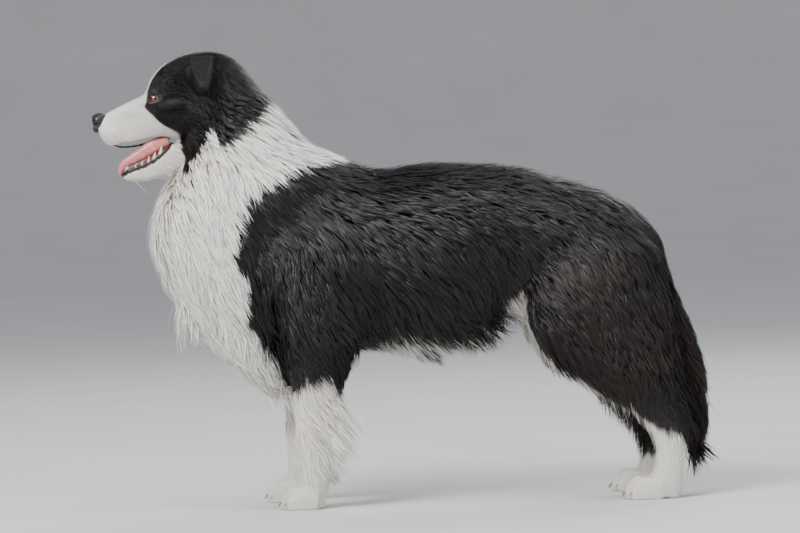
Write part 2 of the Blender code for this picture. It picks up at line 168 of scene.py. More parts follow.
TONGUE = (
    ((-439, 518), (-434, 512), 0, 9, 0, 0, 0),
    ((-437, 531), (-430, 521), 0, 13, 0, 0, 0),
    ((-430, 540), (-424, 526), 0, 15, 0, 0, 0),
    ((-414, 551), (-411, 532), 0, 15.5, 0, 0, 0),
    ((-398, 563), (-395, 539), 0, 16, 0, 0, 0),
    ((-383, 570), (-378, 547), 0, 17, 0, 0, 0),
    ((-364, 575), (-358, 556), 0, 16, 0, 0, 0),
)
NOSE = (
    ((-479, 604), (-477, 597), 0, 6, 0, 0, 0),
    ((-477, 608), (-476, 589), 0, 13, 0, 0, 0),
    ((-470, 611), (-471, 586), 0, 16, 0, 0, 0),
    ((-463, 611), (-463, 588), 0, 15, 0, 0, 0),
    ((-455, 609), (-456, 590), 0, 11, 0, 0, 0),
)
MOUTH = (
    ((-452, 566), (-440, 520), 0, 16, 0, 0, 0),
    ((-425, 570), (-418, 530), 0, 18, 0, 0, 0),
    ((-400, 574), (-395, 538), 0, 19, 0, 0, 0),
    ((-375, 578), (-370, 550), 0, 20, 0, 0, 0),
    ((-354, 573), (-352, 560), 0, 14, 0, 0, 0),
)
LOWER_TEETH = (                           # x, z of the gum, y, height, half width
    (-424, 527, 9.5, 8.5, 2.5),           # canine
    (-411, 529, 12.0, 4, 2.0),
    (-401, 531, 13.5, 5.5, 2.6),
    (-391, 536, 15, 6.5, 3.0),
    (-382, 542, 16.5, 7, 3.4),
    (-372, 549, 18, 9.5, 4.2),            # carnassial
)

TOES = ((-1.5, 8), (-0.5, 0), (0.5, 0), (1.5, 8))    # place across the foot, and how far back
TOE_PITCH = 12.5
FORE_TOES = (-196, 76)
HIND_TOES = (330, 84)
PAWS = ((FORE_TOES, FORE_STEP), (HIND_TOES, HIND_STEP))

EYE_CENTRE = (-380, 31, 629)
EYE_TURN = math.radians(52)       # how far each eye's axis turns out from straight ahead
EYE_SLIT = (11.5, 7.0)            # half length and half height of the opening between the lids
EYE_RADIUS = 10.5
CORNEA_BULGE = 1.0

SKIN_VOXEL = 2.2
SKIN_KEPT = 0.26                  # how much of the fused skin's faces thinning keeps
SKIN_FLOOR = 0.0004               # metres that the soles stand above the floor
PATCH = 0.003                     # side of a tuft's patch on the unwrap
GOLDEN = 0.61803                  # spreads the tufts' own numbers evenly over 0 to 1
COVER = (0.4, 0.6)                # root and tip shares of the place whose marking a tuft takes

FLESH = (
    "trunk", "head", "lower_jaw", "neck", "tail", "foreleg_left", "foreleg_right",
    "hindleg_left", "hindleg_right",
)

# ---------------------------------------------------------------- the groom
#
# A guide is one combed hair: where it roots, which way it lies, its length in millimetres, how
# much of the coat's depth it stands up through, and how freely it hangs (0 laid, 1 hanging).
GUIDES = (
    ((-455, 6, 611), (1, 0, 0.3), 4, 0.8, 0),          # bridge of the nose
    ((-462, 12, 578), (0.6, 0.2, -1), 4, 0.8, 0),      # under the nose
    ((-440, 24, 590), (1, 0.05, -0.1), 5, 0.8, 0),
    ((-410, 28, 600), (1, 0.2, 0), 6, 0.8, 0),
    ((-430, 22, 565), (1, 0.1, -0.5), 6, 0.9, 0),      # upper lip
    ((-390, 32, 575), (1, 0.1, -0.3), 9, 0.8, 0),
    ((-418, 10, 506), (1, 0.1, -0.35), 8, 0.9, 0),     # chin
    ((-385, 20, 512), (1, 0.1, -0.4), 11, 0.9, 0),
    ((-362, 30, 530), (1, 0.1, -0.3), 13, 0.9, 0),
    ((-400, 8, 642), (0.55, 0.1, 1), 5, 0.8, 0),       # stop
    ((-375, 15, 682), (0.9, 0.15, 0.55), 9, 0.8, 0),   # forehead
    ((-340, 15, 698), (0.8, 0.2, 0.5), 15, 1, 0.3),    # crown
    ((-318, 30, 702), (0.6, 0.3, 0.75), 27, 1.2, 0.8),
    ((-285, 25, 702), (0.9, 0.2, 0.35), 26, 1.2, 0.6),
    ((-330, 50, 686), (0.7, 0.5, 0.4), 14, 0.9, 0.2),
    ((-332, 50, 664), (0.4, 0.4, -0.2), 14, 0.9, 0),   # ears
    ((-318, 58, 694), (0.5, 0.8, 0.1), 6, 0.6, 0),
    ((-292, 58, 694), (0.8, 0.6, -0.3), 9, 0.7, 0),
    ((-312, 70, 672), (0.15, 0.2, -1), 9, 0.9, 0),
    ((-332, 68, 672), (-0.25, 0.3, -1), 8, 1, 0.2),
    ((-288, 69, 672), (0.55, 0.3, -1), 14, 1, 0.2),
    ((-306, 75, 640), (0.1, 0.1, -1), 12, 1, 0.3),
    ((-306, 60, 660), (0.1, -0.1, -1), 6, 0.8, 0),
    ((-382, 38, 646), (0.6, 0.3, 0.7), 5, 0.8, 0),     # over the eye
    ((-360, 50, 650), (1, 0.2, 0.2), 9, 0.8, 0),
    ((-392, 36, 616), (1, 0.2, -0.2), 5, 0.8, 0),      # under the eye
    ((-370, 46, 610), (1, 0.3, -0.3), 9, 0.8, 0),
    ((-350, 54, 590), (1, 0.3, -0.45), 15, 0.9, 0),    # cheek
    ((-330, 58, 560), (0.8, 0.2, -0.8), 26, 1, 0.1),
    ((-345, 45, 535), (0.8, 0.3, -0.9), 28, 1, 0.1),
    ((-320, 62, 640), (1, 0.1, -0.5), 20, 0.9, 0),     # before and under the ear
    ((-300, 66, 600), (0.8, 0.1, -0.9), 34, 1, 0.1),
    ((-270, 62, 650), (1, 0.2, -0.5), 36, 0.9, 0),
    ((-270, 30, 692), (1, 0.15, -0.3), 28, 0.9, 0),
    ((-235, 20, 668), (1, 0.1, -0.75), 36, 0.9, 0),    # nape
    ((-362, 12, 500), (0.6, 0.1, -1), 30, 0.9, 0),     # throat
    ((-190, 15, 612), (1, 0.1, -1), 42, 0.95, 0),
    ((-140, 20, 562), (1, 0.12, -0.5), 46, 0.95, 0),
    ((-225, 85, 580), (0.85, 0.05, -0.9), 46, 0.95, 0),
    ((-300, 92, 500), (0.45, 0.05, -1), 60, 1, 0.1),   # side of the ruff
    ((-385, 25, 455), (0.05, 0.1, -1), 70, 1.1, 0.25),   # front of the ruff
    ((-360, 70, 430), (0.25, 0.15, -1), 66, 1.05, 0.2),
    ((-365, 25, 370), (0.2, 0.05, -1), 72, 1.1, 0.3),
    ((-325, 35, 300), (0.35, 0.05, -1), 70, 1.1, 0.4),
    ((-265, 40, 240), (0.3, 0, -1), 66, 1.1, 0.55),      # frill of the chest
    ((-215, 15, 185), (0.25, 0, -1), 62, 1.1, 0.7),
    ((-200, 100, 455), (0.65, 0.02, -0.9), 46, 0.95, 0),     # shoulder
    ((-170, 108, 370), (0.45, 0, -1), 44, 0.95, 0),
    ((-140, 108, 300), (0.3, 0, -1), 38, 0.95, 0),
    ((-110, 20, 535), (1, 0.2, -0.2), 42, 0.9, 0),     # withers
    ((0, 20, 520), (1, 0.2, -0.05), 42, 0.9, 0),       # back
    ((130, 20, 522), (1, 0.2, -0.1), 42, 0.9, 0),
    ((-20, 98, 475), (0.95, 0.05, -0.5), 44, 0.9, 0),
    ((140, 90, 470), (1, 0.05, -0.5), 44, 0.9, 0),
    ((0, 120, 380), (0.75, 0, -0.75), 46, 0.95, 0),    # ribs
    ((0, 108, 300), (0.55, -0.05, -1), 48, 0.95, 0.1),
    ((0, 30, 238), (0.45, 0, -1), 76, 1, 0.9),         # belly
    ((-40, 75, 240), (0.4, 0, -1), 78, 1, 0.8),
    ((60, 60, 240), (0.45, 0, -1), 74, 1, 0.85),
    ((130, 40, 268), (0.4, 0, -1), 72, 1, 0.9),
    ((205, 40, 240), (0.2, 0, -1), 52, 1.1, 0.75),     # inner thigh
    ((255, 45, 190), (0.3, 0, -1), 46, 1.1, 0.75),
    ((150, 95, 350), (0.65, 0, -0.85), 42, 0.95, 0),   # flank
    ((165, 55, 292), (0.3, 0, -1), 62, 1, 0.8),
    ((250, 30, 492), (1, 0.15, -0.4), 40, 0.9, 0),     # croup
    ((240, 95, 450), (0.9, 0.05, -0.7), 40, 0.9, 0),
    ((345, 45, 440), (0.75, 0.1, -1), 40, 0.95, 0),
    ((300, 112, 370), (0.5, 0, -1), 38, 0.95, 0),      # thigh
    ((200, 105, 310), (0.5, 0.05, -0.95), 34, 0.95, 0),
    ((400, 70, 340), (0.35, 0.1, -1), 56, 1, 0.25),    # breeches
    ((425, 70, 250), (0.25, 0.05, -1), 56, 1, 0.35),
    ((330, 104, 230), (0.5, 0, -1), 32, 0.95, 0),      # gaskin
    ((270, 100, 200), (0.6, 0, -0.9), 30, 0.95, 0.1),
    ((440, 76, 180), (0.1, 0, -1), 44, 1, 0.35),
    ((365, 80, 130), (0.4, 0, -1), 20, 0.95, 0),       # hock
    ((430, 80, 110), (0.0, 0, -1), 26, 1, 0.2),
    ((378, 82, 65), (0.1, 0, -1), 9, 0.9, 0),
    ((430, 83, 55), (0.1, 0, -1), 14, 1, 0.1),
    ((350, 84, 26), (-0.9, 0, -0.5), 6, 0.9, 0),
    ((400, 84, 20), (-0.2, 0, -1), 8, 0.9, 0),
    ((-185, 78, 190), (0.15, 0, -1), 14, 0.9, 0),      # forearm
    ((-150, 106, 200), (0.3, 0, -1), 18, 0.9, 0),
    ((-105, 78, 222), (0.6, 0, -1), 34, 1, 0.7),       # fringe of the forearm
    ((-112, 78, 196), (0.8, 0, -0.9), 44, 1, 0.9),
    ((-118, 78, 176), (1.1, 0, -0.7), 94, 1, 0.95),
    ((-118, 78, 150), (1.05, 0, -0.8), 92, 1, 0.95),
    ((-120, 78, 118), (0.95, 0, -0.85), 78, 1, 0.95),
    ((-122, 78, 80), (0.85, 0, -0.8), 50, 1, 0.9),
    ((-65, 76, 265), (0.4, 0, -1), 44, 1, 0.4),        # elbow
    ((-172, 78, 90), (0.1, 0, -1), 8, 0.9, 0),
    ((-120, 78, 60), (0.5, 0, -1), 18, 1, 0.3),
    ((-180, 76, 28), (-0.9, 0, -0.5), 6, 0.9, 0),
    ((-140, 76, 18), (-0.2, 0, -1), 8, 0.9, 0),
    ((372, 10, 395), (0.4, 0.15, -1), 46, 1.05, 0.1),     # root of the tail
    ((405, 20, 320), (0.5, 0.3, -1), 62, 1.1, 0.35),
    ((430, 20, 240), (0.5, 0.35, -1), 70, 1.1, 0.5),
    ((445, 16, 170), (0.35, 0.35, -1), 74, 1.1, 0.5),
    ((450, 10, 120), (0.1, 0.15, -1), 62, 1.1, 0.5),
)


MADE = {}                    # materials, each made once
GROOM = {}                   # what the skin step leaves for the coat and the face


def sizes():
    return bpy.context.scene.dog_sizes


def colours():
    return bpy.context.scene.dog_colours


def linear(code):
    """A #rrggbb colour as linear red, green and blue."""
    parts = [int(code[i : i + 2], 16) / 255 for i in (1, 3, 5)]
    return tuple(p / 12.92 if p <= 0.04045 else ((p + 0.055) / 1.055) ** 2.4 for p in parts)


def to_world(points):
    """Outline millimetres to metres, for one point or an array of them."""
    at = np.asarray(points, float)
    out = at * MM
    out[..., 0] += LEAN * (at[..., 2] - LEAN_HEIGHT) * MM + CENTRE_SHIFT
    return out


def to_outline(points):
    at = np.asarray(points, float) / MM
    at[..., 0] -= LEAN * (at[..., 2] - LEAN_HEIGHT) + CENTRE_SHIFT / MM
    return at


def unit(vectors):
    return vectors / np.maximum(np.linalg.norm(vectors, axis=-1, keepdims=True), 1e-12)


# ---------------------------------------------------------------- shapes


def inset(outline):
    """The skin's cross-sections: the outline's, drawn in by the coat's depth."""
    found = []
    for front, back, y, width, over, under, beside in outline:
        a, b = np.array(front, float), np.array(back, float)
        along = (a - b) / np.linalg.norm(a - b)
        found.append((*(a - along * over), *(b + along * under), y, width - beside))
    return np.array(found)


def curve_through(rows, per_span):
    """Catmull-Rom curve through rows of numbers."""
    padded = np.vstack([2 * rows[0] - rows[1], rows, 2 * rows[-1] - rows[-2]])
    found = []
    for i in range(1, len(padded) - 2):
        p0, p1, p2, p3 = padded[i - 1 : i + 3]
        for t in np.arange(per_span) / per_span:
            curve = 2 * p1 + (p2 - p0) * t + (2 * p0 - 5 * p1 + 4 * p2 - p3) * t**2
            found.append((curve + (3 * p1 - p0 - 3 * p2 + p3) * t**3) / 2)
    found.append(rows[-1])
    return np.array(found)


def bridge(shape, loops, closed=False):
    """Faces between rings of vertices, and over both ends unless the tube is closed on itself."""
    pairs = list(zip(loops, loops[1:]))
    if closed:
        pairs.append((loops[-1], loops[0]))
    for first, second in pairs:
        for k in range(len(first)):
            n = (k + 1) % len(first)
            shape.faces.new((first[k], first[n], second[n], second[k]))
    if not closed:
        shape.faces.new(loops[0][::-1])
        shape.faces.new(loops[-1])


def add_sweep(shape, outline, sides=28, per_span=5, squareness=2.2, side=1, step=0):
    """A closed tube through cross-sections, each a superellipse. A step moves a foot along X."""
    rows = inset(outline)
    rows[:, 4] *= side
    for x, z in ((0, 1), (2, 3)):
        rows[:, x] += step * np.maximum(0, 1 - np.maximum(rows[:, z], 0) / STEP_HINGE)
    rows = curve_through(rows, per_span)
    upper = rows[:, [0, 4, 1]]
    lower = rows[:, [2, 4, 3]]
    middle, reach = (upper + lower) / 2, (upper - lower) / 2
    across = unit(np.cross(np.gradient(middle, axis=0), reach)) * np.maximum(rows[:, 5:6], 0.6)
    turn = FULL_TURN * np.arange(sides) / sides
    c = np.copysign(np.abs(np.cos(turn)) ** (2 / squareness), np.cos(turn))
    s = np.copysign(np.abs(np.sin(turn)) ** (2 / squareness), np.sin(turn))
    points = middle[:, None] + reach[:, None] * s[None, :, None] + across[:, None] * c[None, :, None]
    bridge(shape, [[shape.verts.new(p) for p in ring] for ring in to_world(points)])


def add_egg(shape, centre, radii, turn=0.0, about="Y"):
    place = Matrix.Translation(to_world(centre)) @ Matrix.Rotation(turn, 4, about)
    place = place @ Matrix.Diagonal((radii[0] * MM, radii[1] * MM, radii[2] * MM, 1))
    bmesh.ops.create_uvsphere(shape, u_segments=20, v_segments=10, radius=1, matrix=place)


def add_paw(shape, toes, side, step, thin=2.5):
    """Four arched toes in front of a pad, drawn in by the short hair on them."""
    tip, middle = toes
    for across, behind in TOES:
        x = tip + behind + step
        y = side * (middle + across * TOE_PITCH)
        y_back = y * 0.96 + side * middle * 0.04
        arch = (
            ((x + thin, 12), (x + 4, 0), y, 5.5, 0, 0, thin * 0.6),
            ((x + 8, 25 - thin), (x + 7, -5), y, 7.2, 0, 0, thin * 0.5),
            ((x + 19, 37 - thin), (x + 18, -6), y, 7.8, 0, 0, thin * 0.5),
            ((x + 34, 36 - thin), (x + 33, -6), y, 8.0, 0, 0, thin * 0.5),
            ((x + 54, 34 - thin), (x + 50, -5), y_back, 8.0, 0, 0, thin),
        )
        add_sweep(shape, arch, sides=16, per_span=4)
    add_egg(shape, (tip + step + 46, side * middle, 8), (24, 23, 15))


def object_of(shape, name):
    """A bmesh as an object in the scene."""
    bmesh.ops.recalc_face_normals(shape, faces=shape.faces)
    mesh = bpy.data.meshes.new(name)
    shape.to_mesh(mesh)
    shape.free()
    return linked(name, mesh)


def linked(name, mesh):
    made = bpy.data.objects.new(name, mesh)
    bpy.context.scene.collection.objects.link(made)
    return made


def bake_modifiers(obj):
    graph = bpy.context.evaluated_depsgraph_get()
    old = obj.data
    obj.data = bpy.data.meshes.new_from_object(obj.evaluated_get(graph))
    obj.modifiers.clear()
    bpy.data.meshes.remove(old)


def fuse(obj, voxel_mm):
    modifier = obj.modifiers.new("fuse", "REMESH")
    modifier.mode = "VOXEL"
    modifier.voxel_size = voxel_mm * MM
    bake_modifiers(obj)


def cut_away(obj, cutter):
    cut = obj.modifiers.new("cut", "BOOLEAN")
    cut.object = cutter
    cut.operation = "DIFFERENCE"
    cut.solver = "EXACT"
    bake_modifiers(obj)
    bpy.data.objects.remove(cutter)


def read(items, field, width, kind=float):
    """One field of every vertex, edge or face, as rows of an array."""
    out = np.empty(len(items) * width, kind)
    items.foreach_get(field, out)
    return out.reshape(-1, width)


def coordinates(mesh):
    return read(mesh.vertices, "co", 3)


def set_coordinates(mesh, co):
    mesh.vertices.foreach_set("co", co.ravel())
    mesh.update()


def vertex_normals(mesh):
    return read(mesh.vertices, "normal", 3)


def edge_ends(mesh):
    return read(mesh.edges, "vertices", 2, int)


def push_out(mesh, amounts):
    """Moves each vertex along its normal by so many millimetres."""
    set_coordinates(mesh, coordinates(mesh) + vertex_normals(mesh) * (amounts * MM)[:, None])


def raise_soles(mesh, height):
    """Nothing lies below this height above the floor, so the soles have small flats."""
    co = coordinates(mesh)
    co[:, 2] = np.maximum(co[:, 2], height)
    set_coordinates(mesh, co)


def neighbour_mean(values, ends):
    """The mean of each vertex's neighbours, for an array of values on a mesh."""
    count = np.bincount(ends.ravel(), minlength=len(values)).clip(1)
    out = np.empty_like(values)
    for column in range(values.shape[1]):
        v = values[:, column]
        total = np.bincount(ends[:, 0], v[ends[:, 1]], len(values))
        total += np.bincount(ends[:, 1], v[ends[:, 0]], len(values))
        out[:, column] = total / count
    return out


def relax(mesh, weights, rounds):
    """Lets the surface flow smooth, as much as each vertex's weight says."""
    co, ends = coordinates(mesh), edge_ends(mesh)
    weights = weights[:, None]
    for _ in range(rounds):
        co += (neighbour_mean(co, ends) - co) * 0.5 * weights
    set_coordinates(mesh, co)


def ramp(values, low, high):
    """0 below low, 1 above high, and smooth between."""
    t = np.clip((values - low) / (high - low), 0, 1)
    return t * t * (3 - 2 * t)


def dent(at, centre, radii, mirror=True):
    """How strongly each outline point lies in an egg-shaped region, from 1 at its middle to 0."""
    here = at.copy()
    if mirror:
        here[:, 1] = np.abs(here[:, 1])
    away = ((here - np.array(centre, float)) / np.array(radii, float)) ** 2
    return np.exp(-away.sum(axis=1))


def set_attribute(mesh, name, values):
    """A number or a colour on each vertex."""
    old = mesh.attributes.get(name)
    if old:
        mesh.attributes.remove(old)
    if values.ndim == 1:
        mesh.attributes.new(name, "FLOAT", "POINT").data.foreach_set("value", values)
        return
    full = np.ones((len(values), 4))
    full[:, :3] = values
    mesh.color_attributes.new(name, "FLOAT_COLOR", "POINT").data.foreach_set("color", full.ravel())


def get_attribute(mesh, name):
    return read(mesh.attributes[name].data, "value", 1)[:, 0]


def dress(obj, material, nodes=()):
    """Gives a piece its material and its place on the model."""
    obj.data.materials.clear()
    obj.data.materials.append(material)
    obj.data.shade_smooth()
    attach(obj, "root")
    if nodes:
        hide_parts(*nodes)


# ---------------------------------------------------------------- markings

# Black begins behind this line on the body: height and the x of the edge at that height.
SADDLE_EDGE = (
    (140, -160), (171, -172), (207, -186), (232, -205), (265, -234), (291, -241), (330, -241),
    (362, -251), (389, -270), (418, -257), (459, -245), (477, -234), (496, -198), (515, -169),
    (520, -120), (531, -80), (560, -60),
)
# The black hood: along x, the height above which it is black.
HOOD_EDGE = (
    (-420, 600), (-391, 600), (-371, 590), (-346, 577), (-340, 545), (-334, 512), (-322, 530),
    (-305, 559), (-296, 582), (-290, 580), (-283, 553), (-266, 556), (-249, 568), (-217, 589),
    (-203, 604),
)
FACE_EDGE = ((590, -371), (608, -391), (624, -401), (653, -398), (700, -398))
FORE_SOCK = ((-190, 168), (-173, 168), (-145, 183), (-117, 182), (-97, 176), (-78, 160), (-50, 150))
HIND_SOCK = ((310, 146), (348, 126), (397, 95), (418, 87), (440, 70))


def along(table, values):
    table = np.array(table, float)
    return np.interp(values, table[:, 0], table[:, 1])


def wobble(at, scale, seed):
    """A smooth made-up noise from -1 to 1, for edges and locks that aren't ruled lines."""
    rng = np.random.default_rng(seed)
    total = np.zeros(len(at))
    for _ in range(5):
        wave = rng.normal(0, 1, 3) / scale
        total += np.sin(at @ wave + rng.uniform(0, 6.283))
    return total / 2.5


def whiteness(at):
    """Which hair is white, from 0 to 1, at points of the outline."""
    x = at[:, 0] + 5 * wobble(at, 9, 1) + 4 * wobble(at, 22, 2)
    z = at[:, 2] + 4 * wobble(at, 9, 3)
    y = np.abs(at[:, 1])
    body = ramp(along(SADDLE_EDGE, z) - x, -7, 7)
    body = np.where(z > 560, 1.0, body)
    fine_x = at[:, 0] + 1.2 * wobble(at, 6, 4)
    fine_z = at[:, 2] + 1.2 * wobble(at, 6, 5)
    hood = ramp(fine_z - along(HOOD_EDGE, fine_x), -2.5, 2.5)
    hood *= ramp(fine_x - along(FACE_EDGE, fine_z), -1.5, 1.5)
    hood *= ramp(-206 - x + 0.1 * (z - 604), -6, 6)
    blaze = 15 * ramp(-fine_x, 342, 385) + 12 * ramp(-fine_x, 385, 402)
    hood *= ramp(y - blaze, -1.5, 1.5)
    white = np.where(at[:, 2] > 490, np.minimum(body, 1 - hood), body)
    leg = ramp(along(FORE_SOCK, x) - z, -7, 7)
    white = np.where((x < -30) & (at[:, 2] < 330), np.maximum(white, leg), white)
    hind = ramp(along(HIND_SOCK, at[:, 0]) - z, -5, 5)
    # The far hind foot is white only to the fetlock.
    hind = np.where(at[:, 1] > 0, ramp(56 - z, -5, 5), hind)
    hind = hind * ramp(y, 34, 44)
    white = np.where(x > 250, np.maximum(white, hind), white)
    # The fringe of the belly turns from black to pale towards the back, in strands.
    under = ramp(76 - y, -20, 20) * ramp(248 - z, -16, 16) * ramp(x, -90, -60) * ramp(-x, -185, -165)
    under = under * np.clip(0.42 + 0.4 * ramp(x, 10, 80) + 0.35 * wobble(at, 28, 8), 0, 0.85)
    # The inner side of the thighs, where it shows before the near one, is pale too.
    front = np.interp(z, (142, 181, 236, 300, 362), (322, 262, 196, 170, 194))
    inner = 0.8 * ramp(66 - y, -10, 10) * ramp(front + 34 - x, -12, 12) * ramp(x, 150, 175)
    under = np.maximum(under, inner * ramp(320 - z, -15, 15))
    return np.clip(np.maximum(white, under), 0, 1)


def hair_colours(at, rng):
    """Root and tip colours for hairs rooted at points of the outline."""
    white = whiteness(at)
    white = np.clip(white + rng.normal(0, 0.04, len(at)), 0, 1)
    white = ramp(white + rng.uniform(-0.25, 0.25, len(at)), 0.3, 0.7)[:, None]
    c = colours()
    tone = rng.uniform(-1, 1, len(at))[:, None]
    rust = (0.5 + 0.5 * wobble(at, 40, 6)) * ramp(at[:, 0], 150, 380) * ramp(420 - at[:, 2], 0, 120)
    rust = (0.55 * rust + 0.10)[:, None] * rng.uniform(0.2, 1, len(at))[:, None]
    black, brown = np.array(c.black_hair), np.array(c.rust_hair)
    pale, cream = np.array(c.white_hair), np.array(c.shaded_cream_root)
    dark_tip = (black * (1 - rust) + brown * rust) * (1.25 + 0.45 * tone)
    # Painted shade near the skin: every root is darker than its tip, deeper black in the dark hair and
    # shaded cream in the white.
    shaded_dark_root = black * 0.55
    pale_tip = pale * (1 + 0.05 * tone)
    shaded_pale_root = cream * (1 + 0.08 * tone)
    root = shaded_dark_root * (1 - white) + shaded_pale_root * white
    tip = dark_tip * (1 - white) + pale_tip * white
    return root.clip(0, 1), tip.clip(0, 1)


# ---------------------------------------------------------------- materials


def add_node(tree, kind, settings=None, links=None):
    """Adds a node: settings fill its own fields or its sockets, and links join its sockets."""
    node = tree.nodes.new(kind)
    for name, value in (settings or {}).items():
        if isinstance(name, str) and hasattr(node, name):
            setattr(node, name, value)
        else:
            node.inputs[name].default_value = value
    for name, source in (links or {}).items():
        tree.links.new(source, node.inputs[name])
    return node


def new_material(name):
    material = bpy.data.materials.new(name)
    material.use_nodes = True
    material.node_tree.nodes.clear()
    return material, material.node_tree


def shades(node, stops):
    """Sets the stops of a colour ramp."""
    elements = node.color_ramp.elements
    while len(elements) < len(stops):
        elements.new(0.5)
    for element, (place, colour) in zip(elements, stops):
        element.position = place
        element.color = (*colour, 1)


def guard_hair():
    """Dog's outer coat, brushed: keratin strands, IOR 1.55. The eye gets the soft long shine along the
    dark locks, and paler tips than roots in the white ones. The colour it reads holds painted shade: roots
    darker than tips near the skin, and each tuft's long edges darker beside a painted highlight on its
    ridge."""
    material, tree = new_material("guard_hair_keratin_brushed")
    colour = add_node(tree, "ShaderNodeAttribute", {"attribute_name": "hair_colour"}).outputs["Color"]
    # "strand" is the place across the tuft, along it, and a number of the tuft's own.
    place = add_node(tree, "ShaderNodeAttribute", {"attribute_name": "strand"})
    wide = {"operation": "MULTIPLY", 1: (1.0, 0.45, 60.0)}
    stretch = add_node(tree, "ShaderNodeVectorMath", wide, {0: place.outputs["Vector"]})
    # Single hairs of 0.08 mm are too fine to show, so they are drawn 0.5 mm apart.
    grain = {"Scale": 2.6, "Detail": 2.0, "Roughness": 0.6}
    strand = add_node(tree, "ShaderNodeTexNoise", grain, {"Vector": stretch.outputs["Vector"]})
    span = {"From Min": 0.3, "From Max": 0.7, "To Min": 0.72, "To Max": 1.2}
    tone = add_node(tree, "ShaderNodeMapRange", span, {"Value": strand.outputs["Fac"]})
    times = {0: colour, 1: tone.outputs["Result"]}
    mixed = add_node(tree, "ShaderNodeVectorMath", {"operation": "MULTIPLY"}, times)
    grey = add_node(tree, "ShaderNodeRGBToBW", links={"Color": colour})
    span = {"From Min": 0.0, "From Max": 0.5, "To Min": 0.38, "To Max": 0.65}
    rough = add_node(tree, "ShaderNodeMapRange", span, {"Value": grey.outputs["Val"]})
    relief = {"Strength": 0.5, "Distance": 0.0004}
    bump = add_node(tree, "ShaderNodeBump", relief, {"Height": strand.outputs["Fac"]})
    look = {
        "Base Color": mixed.outputs["Vector"],
        "Roughness": rough.outputs["Result"],
        "Normal": bump.outputs["Normal"],
    }
    keratin = {"IOR": 1.55, "Specular IOR Level": 0.26}
    shader = add_node(tree, "ShaderNodeBsdfPrincipled", keratin, look)
    add_node(tree, "ShaderNodeOutputMaterial", links={"Surface": shader.outputs["BSDF"]})
    return material


def haired_skin():
    """The undercoat on the skin, and the bare skin of lips and mouth: dull short hair, and moist
    pink or dark skin where there is none."""
    material, tree = new_material("undercoat_and_skin_short_haired")
    colour = add_node(tree, "ShaderNodeAttribute", {"attribute_name": "hair_colour"})
    flesh = add_node(tree, "ShaderNodeAttribute", {"attribute_name": "flesh"}).outputs["Fac"]
    where = add_node(tree, "ShaderNodeTexCoord")
    # Short hair of the face lies about 1 mm apart where it breaks the light.
    grain = {"Scale": 1 / 0.0011, "Detail": 4.0, "Roughness": 0.65}
    nap = add_node(tree, "ShaderNodeTexNoise", grain, {"Vector": where.outputs["Object"]})
    span = {"From Min": 0.3, "From Max": 0.7, "To Min": 0.72, "To Max": 1.1}
    tone = add_node(tree, "ShaderNodeMapRange", span, {"Value": nap.outputs["Fac"]})
    times = {0: colour.outputs["Color"], 1: tone.outputs["Result"]}
    coat = add_node(tree, "ShaderNodeVectorMath", {"operation": "MULTIPLY"}, times)
    share = {"Factor": flesh, "A": coat.outputs["Vector"]}
    inside = add_node(tree, "ShaderNodeMix", {"data_type": "RGBA"}, share)
    inside.inputs["B"].default_value = (*linear("#8e4b47"), 1)
    rough = add_node(tree, "ShaderNodeMapRange", {"To Min": 0.7, "To Max": 0.28}, {"Value": flesh})
    relief = {"Strength": 0.5, "Distance": 0.0005}
    bump = add_node(tree, "ShaderNodeBump", relief, {"Height": nap.outputs["Fac"]})
    look = {
        "Base Color": inside.outputs["Result"],
        "Roughness": rough.outputs["Result"],
        "Normal": bump.outputs["Normal"],
    }
    shader = add_node(tree, "ShaderNodeBsdfPrincipled", {"IOR": 1.5}, look)
    add_node(tree, "ShaderNodeOutputMaterial", links={"Surface": shader.outputs["BSDF"]})
    return material


# Each bare tissue: its two tones, the size and the depth of its grain in millimetres, roughness,
# how wet it is (its clear coat), and how much light scatters inside.
TISSUES = {
    # Nose leather: dark, pebbled about 1.1 mm across, with a moist shine.
    "nose_leather_pebbled": ("#0d0c0e", "#242122", 1.1, 0.35, 0.36, 0.35, 0.0),
    # Rims of eyelids and lips: black, smooth and slightly wet.
    "lip_and_lid_skin_smooth": ("#100e0f", "#1f1a1a", 0.9, 0.08, 0.34, 0.4, 0.0),
    # The thin pale line round the lids: bare grey-pink skin, damp.
    "lid_edge_skin_bare": ("#5a4c48", "#8d7d77", 0.9, 0.05, 0.45, 0.2, 0.0),
    # Tongue: pink muscle under 0.8 mm bumps, wet, light scattering a little inside.
    "tongue_flesh_wet": ("#c76f72", "#dd8f8e", 0.8, 0.12, 0.38, 0.4, 0.15),
    # Tooth enamel: ivory, glossy.
    "tooth_enamel_smooth": ("#e2d8bd", "#f2ecdc", 1.5, 0.02, 0.22, 0.3, 0.1),
    # Whiskers: stiff white keratin, thicker than hair, with a bright sheen.
    "whisker_keratin_stiff": ("#d9d4ca", "#f3f0ea", 2.0, 0.01, 0.35, 0.1, 0.0),
    # Claw horn: grey-brown keratin, worn to a dull gloss.
    "claw_horn_worn": ("#6a5c50", "#a89a8a", 0.9, 0.05, 0.4, 0.1, 0.0),
    # Paw pad: thick black leather with 1.4 mm grain, dry.
    "paw_pad_leather_rough": ("#1b1817", "#332d2a", 1.4, 0.35, 0.7, 0.0, 0.0),
}


